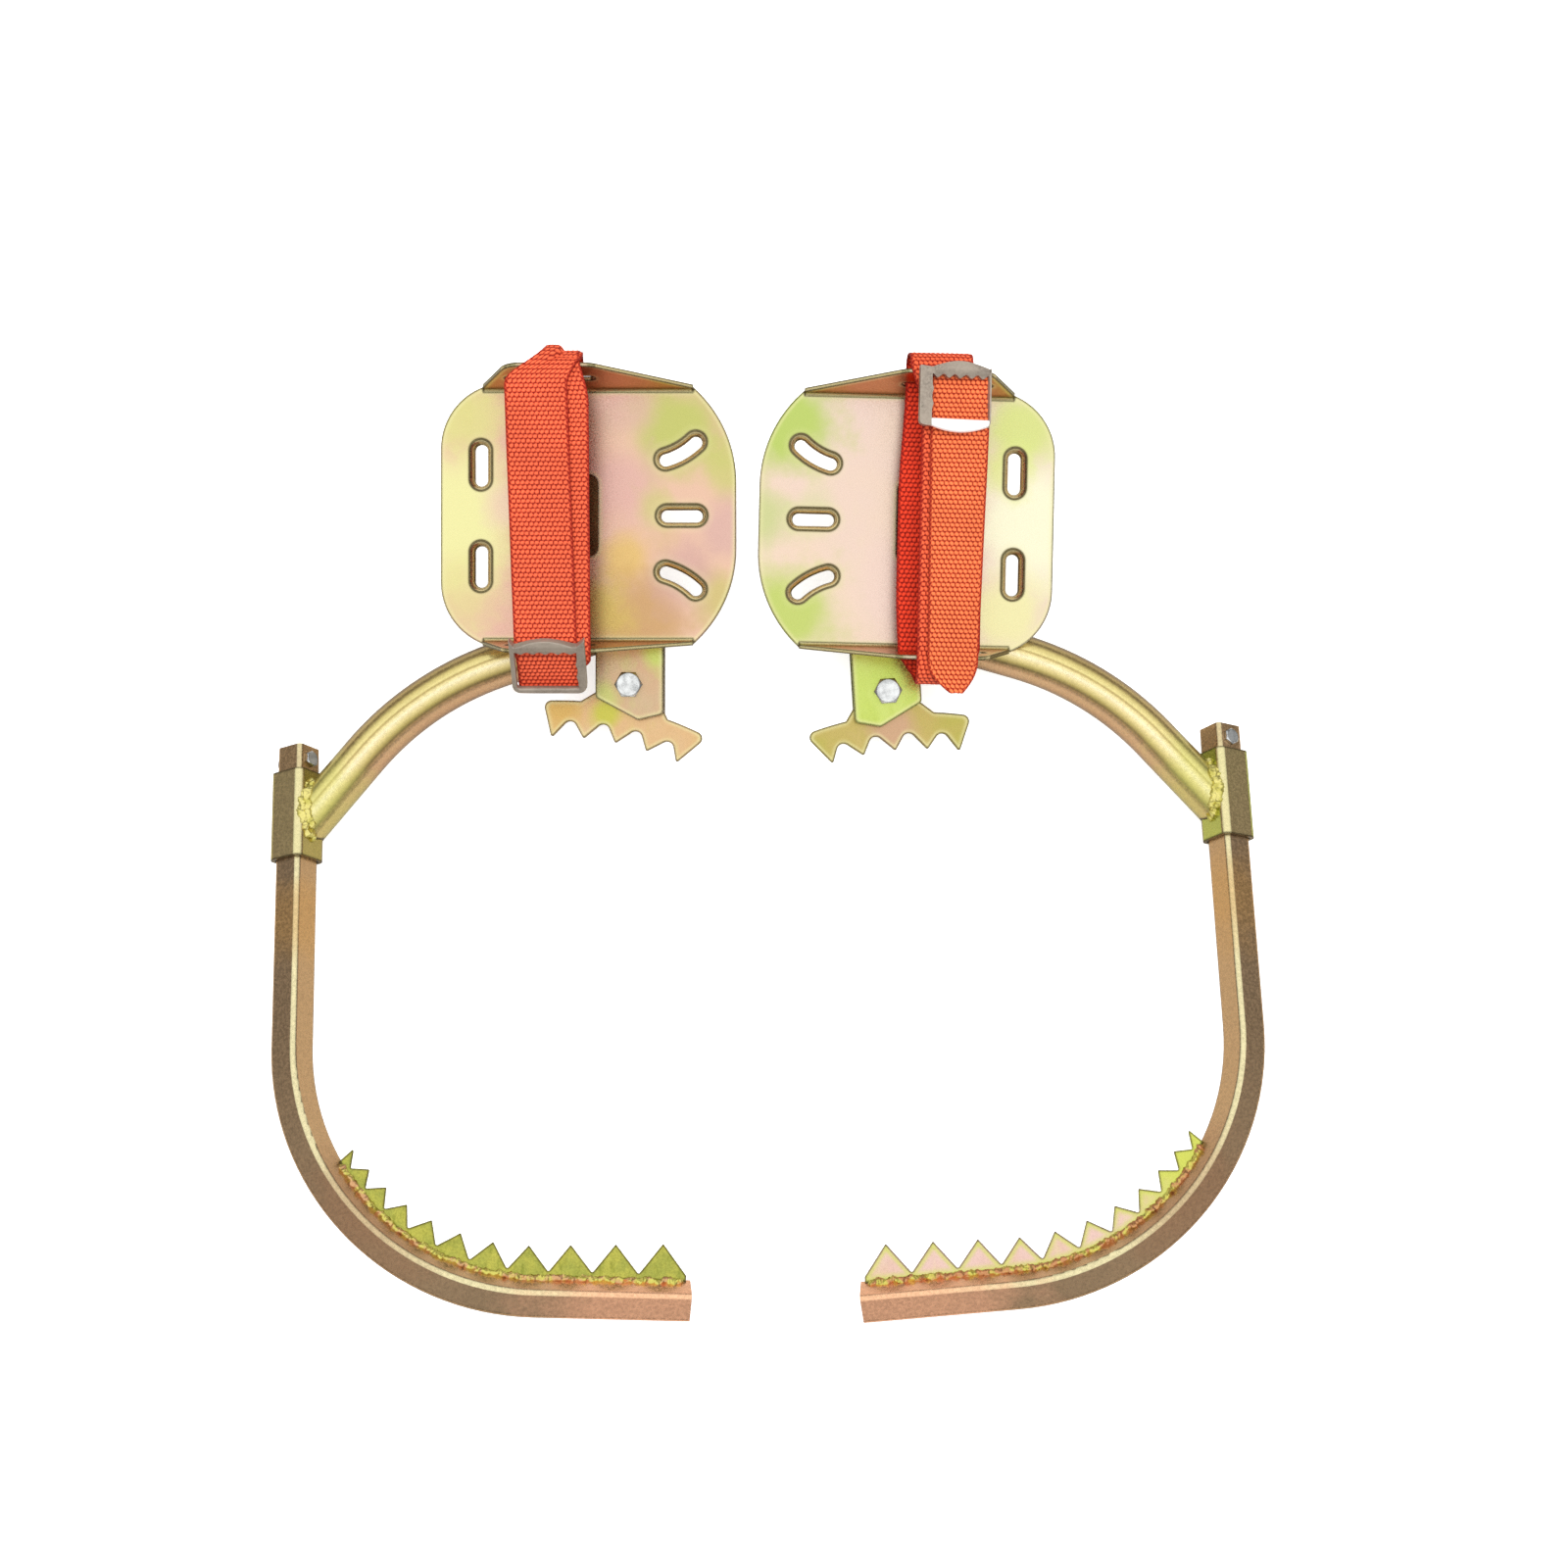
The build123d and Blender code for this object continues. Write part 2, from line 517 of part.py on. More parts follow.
def buckle_plane(slanted):
    """Seat of the buckle on the strap's outer face: X across the strap, Y up along it, Z outwards."""
    if slanted:
        up = Vector(0, STRAP_SLANT_RUN, STRAP_FRONT - STRAP_BACK).normalized()
        seat = Vector(STRAP_X, SLANT_BOTTOM, STRAP_BACK) + up * (LOWER_BUCKLE_RISE / up.Y)
        normal = Vector(1, 0, 0).cross(up)
        return Plane(seat + normal * STRAP_CLEARANCE, (1, 0, 0), normal)
    lift = STRAP_FRONT + 2 * STRAP_CLEARANCE + STRAP_THICKNESS
    return Plane((STRAP_X, FLANGE_EDGE - UPPER_BUCKLE_INSET, lift), (1, 0, 0), (0, 0, 1))


def buckle_bar_outline():
    return RectangleRounded(BUCKLE_WIDTH - BUCKLE_RAIL, BUCKLE_BAR_WIDTH, BUCKLE_BAR_THICKNESS / 2)


def bar_place():
    return Pos(0, BUCKLE_BAR_WIDTH / 2 - BUCKLE_LENGTH / 2 + BUCKLE_SEAT / 2)


def buckle_frame(slanted):
    """Cast frame: an arched head with a toothed edge, and two rails that hold the lower bar."""
    frame = RectangleRounded(BUCKLE_WIDTH, BUCKLE_LENGTH, BUCKLE_RAIL)
    window_width = BUCKLE_WIDTH - 2 * BUCKLE_RAIL
    window_top = BUCKLE_LENGTH / 2 - BUCKLE_ARCH
    window_base = -BUCKLE_LENGTH / 2 + BUCKLE_SEAT
    window = Pos(0, (window_top + window_base) / 2) * Rectangle(window_width, window_top - window_base)
    pitch = window_width / BUCKLE_TOOTH_COUNT
    teeth = Sketch()
    for k in range(BUCKLE_TOOTH_COUNT):
        left = -window_width / 2 + pitch * k
        teeth += make_face(Polyline((left, window_top), (left + pitch / 2, window_top - BUCKLE_TOOTH_DEPTH),
                                    (left + pitch, window_top), close=True))
    body = extrude(frame - window + teeth, BUCKLE_THICKNESS)
    bar_slot = extrude(bar_place() * buckle_bar_outline(), BUCKLE_BAR_THICKNESS)
    return buckle_plane(slanted) * (body - bar_slot)


def buckle_bar(slanted):
    return buckle_plane(slanted) * (bar_place() * extrude(buckle_bar_outline(), BUCKLE_BAR_THICKNESS))


def square_support(side, corner, along_x, along_z):
    """How far a rolled square section reaches along a direction given in the plane of the bend."""
    roll = radians(BAR_ROLL)
    first = along_x * cos(roll) + along_z * sin(roll)
    second = along_z * cos(roll) - along_x * sin(roll)
    return (side / 2 - corner) * (abs(first) + abs(second)) + corner * hypot(first, second)


def contact_heights(tilt):
    """Lowest heights of the sleeve's top and of the leg's end when the iron leans by the tilt."""
    up = Vector(0, sin(tilt), cos(tilt))
    plane = hook_plane()
    across, along, out = up.dot(plane.x_dir), up.dot(plane.y_dir), up.dot(plane.z_dir)
    turn = radians(HOOK_TURN)
    base = up.dot(plane.origin)
    sleeve_low = base + along * SLEEVE_LENGTH / 2 - square_support(SLEEVE_SIDE, SLEEVE_CORNER, across, out)
    end_x = HOOK_RADIUS * (1 - cos(turn)) + HOOK_LEG * sin(turn)
    end_y = -BAR_STRAIGHT - HOOK_RADIUS * sin(turn) - HOOK_LEG * cos(turn)
    inward = across * cos(turn) + along * sin(turn)
    leg_low = base + across * end_x + along * end_y - square_support(BAR_SIDE, BAR_CORNER, inward, out)
    return sleeve_low, leg_low


def rest_tilt():
    """Lean at which the sleeve's top and the leg's end both touch the floor."""
    low, high = 0.0, radians(45)
    while high - low > 1e-9:
        middle = (low + high) / 2
        sleeve_low, leg_low = contact_heights(middle)
        low, high = (middle, high) if leg_low > sleeve_low else (low, middle)
    return (low + high) / 2


def plate_seat(right):
    """Where the foot plate lies on its arm: the right one is welded on with a small turn and shift."""
    return Pos(*RIGHT_PLATE_SHIFT) * Rot(Z=RIGHT_PLATE_TURN) if right else Location()


def iron(right, tilt, floor):
    """All pieces of one iron as a left iron, in its own frame; the right one has its buckle at the top."""
    bolt_low = PIVOT_Y - jaw_drop(right) - PIVOT_DIAMETER / 2 + BOLT_CHAMFER
    bolt_end = (floor - bolt_low * sin(tilt)) / cos(tilt)
    on_plate = {
        "foot_plate": foot_plate(),
        "window_backing": window_backing(),
        "strap": strap(not right),
        "buckle_frame": buckle_frame(not right),
        "buckle_bar": buckle_bar(not right),
    }
    if right:
        on_plate["strap_tail"] = strap_tail()
    on_arm = {
        "arm_tube": arm_tube(),
        "sleeve": sleeve(),
        "hook_bar": hook_bar(right),
        "hook_tooth_strip": hook_tooth_strip(),
        "stop_bolt": stop_bolt(right),
        "stop_nut": stop_nut(right),
        "front_cheek": cheek(FRONT_CHEEK_TOP - CHEEK_THICKNESS, right),
        "rear_cheek": cheek(REAR_CHEEK_BOTTOM, right),
    }
    on_pivot = {
        "jaw": jaw(RIGHT_JAW_SWING if right else 0),
        "pivot_bush": pivot_bush(),
        "pivot_bolt": pivot_bolt(bolt_end),
        "pivot_washer": pivot_washer(),
        "pivot_nut": pivot_nut(),
    }
    plate, pivot = plate_seat(right), pivot_line(right)
    return {**{name: plate * piece for name, piece in on_plate.items()}, **on_arm,
            **{name: pivot * piece for name, piece in on_pivot.items()}}


def resting_places():
    """Where each iron's own frame lies on the floor; the right iron is mirrored first."""
    tilt = rest_tilt()
    lean = Pos(0, 0, -min(contact_heights(tilt))) * Rot(X=degrees(tilt))
    return {"left": Pos(-PAIR_SPACING / 2, 0, 0) * lean,
            "right": Pos(PAIR_SPACING / 2, RIGHT_ADVANCE, 0) * Rot(Z=RIGHT_YAW) * lean}


def pair():
    """Both irons as they lie on the floor, centred on the box that holds them."""
    tilt = rest_tilt()
    floor = min(contact_heights(tilt))
    placed = {}
    for side, place in resting_places().items():
        for name, piece in iron(side == "right", tilt, floor).items():
            placed[f"{side}_{name}"] = place * (mirror(piece, Plane.YZ) if side == "right" else piece)
    box = Compound(children=[Compound(p.solids()) for p in placed.values()]).bounding_box()
    home = Pos(-box.center().X, -box.center().Y, 0)
    return {name: home * piece for name, piece in placed.items()}, home


os.makedirs("parts", exist_ok=True)
parts, home = pair()
for name, piece in parts.items():
    export_step(piece, f"parts/{name}.step")
print("pieces", len(parts), "shift to the middle", home.position)
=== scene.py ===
import json
from math import cos, hypot, pi, radians, sin, sqrt, tau

import bpy
import numpy as np
from mathutils import Matrix, Vector, noise
from mathutils.bvhtree import BVHTree


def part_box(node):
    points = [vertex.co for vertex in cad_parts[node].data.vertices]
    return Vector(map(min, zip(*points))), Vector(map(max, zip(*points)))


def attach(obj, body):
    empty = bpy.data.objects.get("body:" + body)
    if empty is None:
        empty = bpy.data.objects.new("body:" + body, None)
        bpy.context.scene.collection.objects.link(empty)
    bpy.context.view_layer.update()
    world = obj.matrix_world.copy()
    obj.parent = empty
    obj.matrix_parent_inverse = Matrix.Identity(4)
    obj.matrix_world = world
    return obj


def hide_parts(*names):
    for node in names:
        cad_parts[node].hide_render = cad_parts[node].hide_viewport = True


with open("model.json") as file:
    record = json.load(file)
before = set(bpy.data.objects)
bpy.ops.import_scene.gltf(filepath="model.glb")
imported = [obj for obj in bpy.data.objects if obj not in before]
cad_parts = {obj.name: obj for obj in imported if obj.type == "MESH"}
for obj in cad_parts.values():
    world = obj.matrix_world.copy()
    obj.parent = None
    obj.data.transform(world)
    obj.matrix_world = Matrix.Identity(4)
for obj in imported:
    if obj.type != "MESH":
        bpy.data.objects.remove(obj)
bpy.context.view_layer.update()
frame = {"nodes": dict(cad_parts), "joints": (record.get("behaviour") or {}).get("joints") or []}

# Sizes of the irons in millimetres of an iron's own frame: x to the toe, y away from the hook, z out of the tread
MM = 0.001
SIDES = ("left", "right")
PIVOT = {"left": Vector((25.8, -109.8, -17.6)), "right": Vector((25.8, -114.8, -17.6))}
RIGHT_YAW = radians(3.5)
RIGHT_PLATE_TURN = radians(4.7)
RIGHT_PLATE_SHIFT = Vector((7.5, -5.6, 0))
PLATE_BACK = -2.5
ARM_RADIUS = 15.0
ARM_AXIS_Z = -17.6
ARM_HEADING = radians(199.2)
ARM_START = Vector((-62.0, -96.5, ARM_AXIS_Z))
ARM_UNDER_PLATE = 96.0
ARM_TURN = radians(30.5)
SLEEVE_RISE, SLEEVE_LIFT = 11.1, 0.5
CHEEK_FRONT_Z, CHEEK_BACK_Z = -5.6, -29.6
CHEEK_HEEL_X, CHEEK_TOE_X = 4.0, 48.2
HOOK_TILT, HOOK_SWING = radians(19.6), radians(8.3)
HOOK_RADIUS = 160.0
HOOK_TURN = radians(86.5)
HOOK_LEG = 97.5
BAR_STRAIGHT = 154.0
BAR_HALF = 10.0
BAR_ROLL = radians(38.2)
STRIP_HALF = 2.0
STRIP_BEGIN, STRIP_ON_LEG = 0.515, 93.0
STRAP_FRONT, STRAP_BACK = 42.7, 18.8
STRAP_TOP = 103.82
LOOP_BOTTOM = -107.2
SLANT_TOP, SLANT_BOTTOM = -94.32, -123.32
STRAP_WIDTH, STRAP_THICKNESS = 40.0, 2.4
PLY = 2.7
TAIL_TOP, TAIL_LOW = 90.2, -113.0


# Places

def joint(name):
    return next(j for j in frame["joints"] if j["name"] == name)


def iron_place(side):
    """Matrix from an iron's own frame to the floor; the right iron is a mirror image."""
    swing = joint(f"{side}_jaw_swing")
    out = Vector(swing["axis"]).normalized()
    toe, hand = Vector((1, 0, 0)), 1
    if side == "right":
        toe, hand = Vector((-cos(RIGHT_YAW), -sin(RIGHT_YAW), 0)), -1
    turn = Matrix((toe, out.cross(toe) * hand, out)).transposed()
    place = turn.to_4x4()
    place.translation = Vector(swing["pos_m"]) - turn @ PIVOT[side] * MM
    return place


def plate_place(side):
    """Matrix from the foot plate's frame to the floor; the right plate sits turned on its arm."""
    if side == "left":
        return iron_place(side)
    return iron_place(side) @ Matrix.Translation(RIGHT_PLATE_SHIFT * MM) @ Matrix.Rotation(RIGHT_PLATE_TURN, 4, "Z")


def hook_place(side):
    """Matrix from the hook's plane to the floor: x into the hook, y up the sleeve, z to the tread's side."""
    out = Vector((sin(HOOK_SWING), sin(HOOK_TILT) * cos(HOOK_SWING), cos(HOOK_TILT) * cos(HOOK_SWING)))
    up = (Vector((0, 1, 0)) - out * out.y).normalized()
    turn = Matrix((up.cross(out), up, out)).transposed()
    low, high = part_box(f"{side}_sleeve")
    place = (iron_place(side).to_3x3() @ turn).to_4x4()
    place.translation = (low + high) / 2
    return place


# Modelling

MERGE_WITHIN = 0.02


def start_clean():
    if bpy.context.object and bpy.context.object.mode != "OBJECT":
        bpy.ops.object.mode_set(mode="OBJECT")
    bpy.ops.object.select_all(action="DESELECT")


def laid_grid(name, columns, rows, shape):
    """A grid of that many faces, each point laid where shape(column, row) puts it, in metres."""
    start_clean()
    bpy.ops.mesh.primitive_grid_add(x_subdivisions=columns, y_subdivisions=rows, size=1, location=(0, 0, 0))
    piece = bpy.context.object
    piece.name = piece.data.name = name
    spots = np.empty(len(piece.data.vertices) * 3)
    piece.data.vertices.foreach_get("co", spots)
    spots = spots.reshape(-1, 3)
    column = np.rint((spots[:, 0] + 0.5) * columns).astype(int)
    row = np.rint((spots[:, 1] + 0.5) * rows).astype(int)
    piece.data.vertices.foreach_set("co", np.asarray(shape(column, row), float).ravel())
    piece.data.update()
    return piece


def take(piece):
    """Selects one piece alone, as the active one."""
    start_clean()
    piece.select_set(True)
    bpy.context.view_layer.objects.active = piece


def finish_shape(piece, *modifiers):
    """Adds modifiers given as (kind, settings) one by one and applies each."""
    take(piece)
    for kind, settings in modifiers:
        step = piece.modifiers.new(kind.title(), kind)
        for key, value in settings.items():
            setattr(step, key, value)
        bpy.ops.object.modifier_apply(modifier=step.name)
    return piece


def in_edit(piece, *steps):
    """Runs edit-mode operators, the first of them with every point of the piece selected."""
    take(piece)
    bpy.ops.object.mode_set(mode="EDIT")
    bpy.ops.mesh.select_all(action="SELECT")
    for step in steps:
        step()
    bpy.ops.object.mode_set(mode="OBJECT")
    return piece


def merge_points():
    bpy.ops.mesh.remove_doubles(threshold=MERGE_WITHIN * MM)


def cap_ends():
    bpy.ops.mesh.select_all(action="DESELECT")
    bpy.ops.mesh.select_non_manifold()
    bpy.ops.mesh.fill()
    bpy.ops.mesh.select_all(action="SELECT")


def outward():
    bpy.ops.mesh.normals_make_consistent(inside=False)


def smooth(piece, angle):
    take(piece)
    bpy.ops.object.shade_smooth_by_angle(angle=radians(angle))
    return piece


def closed_bar(name, columns, rows, shape, angle):
    """A grid that its shape rolls into a bar, with its seam merged and its ends filled."""
    piece = laid_grid(name, columns, rows, shape)
    in_edit(piece, merge_points, cap_ends, outward)
    return smooth(piece, angle)


def note(mesh, **fields):
    """Writes values, one for each point of a mesh, as its attributes."""
    for key, values in fields.items():
        mesh.attributes.new(key, "FLOAT", "POINT").data.foreach_set("value", values.astype(np.float32))


def lay(piece, place, body, slot, finish, *stands_for):
    """Moves a piece by its place's matrix, gives it its finish and lets it ride on its body."""
    piece.data.transform(place)
    if place.determinant() < 0:
        piece.data.flip_normals()
    piece.data.materials.clear()
    piece.data.materials.append(finish)
    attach(piece, body)
    if stands_for:
        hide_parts(*stands_for)
    return piece


# Webbing

WEAVE_ACROSS, WEAVE_ALONG = 3.0, 2.9
WEAVE_RELIEF = 0.6
FLOAT_SLANT, FLOAT_HALF = 0.22, 0.56
SELVEDGE = 1.5
CORD_RISE, CORD_FALL = 0.35, 0.7
STRAP_COLUMNS, ROWS_PER_FLOAT = 64, 4
MID_FRONT = STRAP_FRONT - STRAP_THICKNESS / 2
MID_BACK = STRAP_BACK + STRAP_THICKNESS / 2
LOOP_TURN = (MID_FRONT - MID_BACK) / 2 - 0.05
GATHER = 8.6
SLANT_KNEE, SLANT_FOOT = SLANT_TOP + 0.5, SLANT_BOTTOM + 3.0
KNEE_TURN, FOOT_TURN = 10.0, 4.8
TAIL_TAPER = 20.0
ARC_STEPS = 17


def rounded_line(corners, radii, closed):
    """Dense points of a line through corners (y, z) with each corner turned on a radius."""
    points = []
    count = len(corners)
    for k, (corner, radius) in enumerate(zip(corners, radii)):
        here = np.array(corner, float)
        if not closed and k in (0, count - 1):
            points.append(here)
            continue
        before = np.array(corners[k - 1], float) - here
        after = np.array(corners[(k + 1) % count], float) - here
        before, after = before / hypot(*before), after / hypot(*after)
        half = np.arccos(np.clip(before @ after, -1, 1)) / 2
        reach = radius / np.tan(half)
        middle = (before + after) / hypot(*(before + after))
        centre = here + middle * radius / np.sin(half)
        first, last = here + before * reach - centre, here + after * reach - centre
        sweep = pi - 2 * half
        side = np.sign(first[0] * last[1] - first[1] * last[0])
        for t in np.linspace(0, sweep, ARC_STEPS):
            c, s = cos(t), sin(t) * side
            points.append(centre + (first[0] * c - first[1] * s, first[0] * s + first[1] * c))
    if closed:
        points.append(points[0])
    return np.array(points)


def run_along(points):
    """How far along a line each of its points is."""
    return np.concatenate([[0], np.cumsum(np.linalg.norm(np.diff(points, axis=0), axis=1))])


def evenly(points, count):
    """Points at even steps along a line, and how far along it they are."""
    run = run_along(points)
    steps = np.linspace(0, run[-1], count + 1)
    return np.stack([np.interp(steps, run, values) for values in points.T], 1), steps


def unit(vectors):
    return vectors / np.linalg.norm(vectors, axis=1)[:, None]


def headings(path, closed=False):
    """Unit direction of a line at each of its points."""
    ahead = np.gradient(path, axis=0)
    if closed:
        ahead[0] = ahead[-1] = path[1] - path[-2]
    return unit(ahead)


def ease(value, low, high):
    """Soft step from 0 at low to 1 at high."""
    t = np.clip((value - low) / (high - low), 0, 1)
    return t * t * (3 - 2 * t)


def between(share, low, high):
    return low + (high - low) * share


def selvedge_share(across, half_width):
    return np.clip((np.abs(across) - half_width + SELVEDGE) / SELVEDGE, 0, 1)


def weave_height(across, along, half_width):
    """Relief of the woven floats, 0 in the grooves and 1 on the crowns; rows are staggered and slanted."""
    row = np.floor(along / WEAVE_ALONG)
    up = along / WEAVE_ALONG - row - 0.5
    column = across / WEAVE_ACROSS + 0.5 * (row % 2) + FLOAT_SLANT * up
    side = column - np.floor(column) - 0.5
    crown = np.sqrt(np.clip(1 - (side / 0.5) ** 2 - (up / FLOAT_HALF) ** 2, 0, 1))
    edge = selvedge_share(across, half_width)
    cord = CORD_RISE + CORD_RISE * np.cos(tau * along / WEAVE_ALONG)
    return np.where(edge > 0, cord * (1 - CORD_FALL * edge), crown)


def strap_piece(name, line, closed, centre, half_width, swell):
    """Webbing along a line of (y, z) points: centre(y, z) is its sideways place, half_width(y) half its width
    and swell(share, y, z) how far it stands off the line."""
    floats = 2 * round(run_along(line)[-1] / WEAVE_ALONG / 2)
    rows = floats * ROWS_PER_FLOAT
    path = evenly(line, rows)[0]
    if closed:
        path[-1] = path[0]
    ahead = headings(path, closed)
    out = np.stack([ahead[:, 1], -ahead[:, 0]], 1)
    fields = {}

    def shape(column, row):
        y, z = path[row].T
        width = half_width(y)
        across = (column / STRAP_COLUMNS * 2 - 1) * width
        lift = swell(across / width, y, z)
        fields["across"] = across
        fields["along"] = row * (WEAVE_ALONG / ROWS_PER_FLOAT)
        fields["half"] = width
        # Share of the back run, for the painted shade laid on it
        fields["behind"] = 1 - ease(z, MID_BACK + 1, MID_FRONT - 3)
        return np.stack([centre(y, z) + across, y + out[row, 0] * lift, z + out[row, 1] * lift], 1) * MM

    piece = laid_grid(name, STRAP_COLUMNS, rows, shape)
    note(piece.data, **fields)
    if closed:
        in_edit(piece, merge_points)
    core = (STRAP_THICKNESS - WEAVE_RELIEF) * MM
    finish_shape(piece, ("SOLIDIFY", {"thickness": core, "offset": 0, "use_even_offset": False}))
    in_edit(piece, outward)
    raise_weave(piece.data)
    return smooth(piece, 60)


def raise_weave(mesh):
    """Lifts the floats of the weave out of the strap's skin, and keeps their height for the finish."""
    data = {}
    for key in ("across", "along", "half", "behind"):
        data[key] = np.empty(len(mesh.vertices), np.float32)
        mesh.attributes[key].data.foreach_get("value", data[key])
        mesh.attributes.remove(mesh.attributes[key])
    height = weave_height(data["across"], data["along"], data["half"])
    spots = np.empty(len(mesh.vertices) * 3, np.float32)
    normals = np.empty(len(mesh.vertices) * 3, np.float32)
    mesh.vertices.foreach_get("co", spots)
    mesh.vertex_normals.foreach_get("vector", normals)
    spots += normals * np.repeat((height - 0.5) * WEAVE_RELIEF * MM, 3)
    mesh.vertices.foreach_set("co", spots)
    note(mesh, weave=height, selvedge=selvedge_share(data["across"], data["half"]), behind=data["behind"])
    mesh.update()


def gathered(y):
    """Half of what the left strap's heel edge is drawn in by, where it turns over the upper flange."""
    return GATHER * ease(y, 80, 105)


def gathered_width(y):
    return STRAP_WIDTH / 2 - gathered(y)


def ripple(share, y, z, height, rate, skew):
    """Slow waves of slack webbing, on the front run only."""
    return height * np.sin(y * rate + skew * share) * ease(z, 30, 40)


def left_loop():
    """Loop through both flanges; its front run leans to the toe, its back run lies in the slots."""
    top = STRAP_TOP - PLY - STRAP_THICKNESS / 2
    corners = [(top, MID_BACK), (top, MID_FRONT), (SLANT_KNEE, MID_FRONT), (SLANT_FOOT, MID_BACK)]
    line = rounded_line(corners, [LOOP_TURN, LOOP_TURN, KNEE_TURN, FOOT_TURN], True)
    front_x, lean, top_x, back_x = -15.6, -0.008, -23.0, -22.0

    def centre(y, z):
        run = between(ease(y, 66, 101), front_x + lean * y, top_x)
        return between(ease(z, 33, 40), back_x, run) + gathered(y)

    def swell(share, y, z):
        return ripple(share, y, z, 0.15, 0.11, 2)

    return strap_piece("left_webbing", line, True, centre, gathered_width, swell)


def left_over():
    """Second layer over the loop: humped over the upper flange, drawn through the buckle at its lower end."""
    top = STRAP_TOP - STRAP_THICKNESS / 2
    front, back = MID_FRONT + PLY, MID_BACK - PLY
    fall = (MID_FRONT - MID_BACK) / (SLANT_KNEE - SLANT_FOOT)
    knee, end = SLANT_TOP - 0.5, -112.5
    corners = [(91.0, back), (top, back), (top, front), (knee, front), (end, front + (end - knee) * fall)]
    line = rounded_line(corners, [0, LOOP_TURN + PLY, LOOP_TURN + PLY, KNEE_TURN, 0], False)
    front_x, lean, top_x, buckle_x, back_x = -26.5, -0.038, -20.0, -21.5, -21.0
    hump, hollow = 0.9, 3.4

    def centre(y, z):
        run = between(ease(y, 76, 101), front_x + lean * y, top_x)
        run = between(ease(-y, 86, 104), run, buckle_x)
        return between(ease(z, 24, 40) * (y > 0) + (y <= 0), back_x, run) + gathered(y)

    def swell(share, y, z):
        raised = hump * ease(y, 84, 100) * ease(-share, 0.0, 0.5)
        sunk = hollow * ease(y, 88, 99) * ease(share, -0.3, 0.0)
        return raised - sunk + ripple(share, y, z, 0.25, 0.09, 2)

    return strap_piece("left_webbing_over", line, False, centre, gathered_width, swell)


def right_loop():
    """Loop whose front run is drawn over to the heel, so that its back run shows beside it."""
    top, bottom = STRAP_TOP - STRAP_THICKNESS / 2, LOOP_BOTTOM + STRAP_THICKNESS / 2
    corners = [(top, MID_BACK), (top, MID_FRONT), (bottom, MID_FRONT), (bottom, MID_BACK)]
    line = rounded_line(corners, [LOOP_TURN] * 4, True)
    front_x, top_x, back_x, sag, drawn = -25.5, -17.5, -13.0, 3.0, 3.6

    def drawn_in(y):
        return drawn * ease(-y, 84, 104)

    def centre(y, z):
        front = between(ease(y, 64, 99), front_x, top_x)
        back = between(ease(-y, 86, 106), back_x - sag * ease(np.abs(y + 15), 30, 100), front_x)
        return between(ease(z, MID_BACK + 3, MID_FRONT - 2), back, front) + drawn_in(y)

    def half_width(y):
        return STRAP_WIDTH / 2 - drawn_in(y)

    def swell(share, y, z):
        return ripple(share, y, z, 0.2, 0.09, 3)

    return strap_piece("right_webbing", line, True, centre, half_width, swell)


def right_tail():
    """Free end of the webbing on the front of the loop, drawn narrower on its way down to a blunt tip."""
    level = STRAP_FRONT + 0.3 + STRAP_THICKNESS / 2
    line = np.array([(TAIL_TOP, level), (TAIL_LOW, level)])
    half, widening, tip_loss = 17.65, 0.0172, 0.74
    middle_x, lean, tip_aside = -29.0, -0.0084, 3.0
    slack = 0.35

    def tapered(y):
        return np.clip((TAIL_LOW + TAIL_TAPER - y) / TAIL_TAPER, 0, 1) ** 2

    def half_width(y):
        return (half + widening * y) * (1 - tip_loss * tapered(y))

    def centre(y, z):
        return middle_x + lean * y - tip_aside * tapered(y)

    def swell(share, y, z):
        return slack + ripple(share, y, z, 0.3, 0.07, 1)

    return strap_piece("right_webbing_tail", line, False, centre, half_width, swell)


# Buckles

BUCKLE_SPAN = {"left": 47.4, "right": 45.6}
BUCKLE_DEPTH = 5.0
HEEL_RAIL = {"left": 3.0, "right": 1.8}
TOE_RAIL = {"left": 5.4, "right": 7.6}
RAIL_FOOT = {"left": -14.5, "right": -20.5}
FOOT_ROUND = 3.5
HEAD_LOW, HEAD_SHOULDER, HEAD_CROWN = 12.2, 16.2, 4.4
EAR_TOP = {"left": 21.4, "right": 17.0}
SCALLOPS, SCALLOP_DEPTH = 5, 2.4
HEAD_DOME, BITE_FALL, HEAD_HOLLOW = 1.2, 1.5, 0.5
NUBS, NUB_REACH, NUB_SPREAD = (-7.0, 2.5), 1.1, 1.6
CAST_BEVEL = 0.7
BAR_ROWS = 20
UPPER_BUCKLE, UPPER_ROLL = Vector((-25.2, 74.6, 46.4)), radians(-8)
LOWER_BUCKLE = Vector((-21.3, -98.9, 42.0))
LOWER_BAR, LOWER_BEND = -20.4, 3.6


def scallops(share):
    """Height of the head's biting edge across the window, which runs from -1 to 1."""
    return HEAD_LOW - SCALLOP_DEPTH * (0.5 - 0.5 * np.cos(tau * SCALLOPS * (share + 1) / 2))


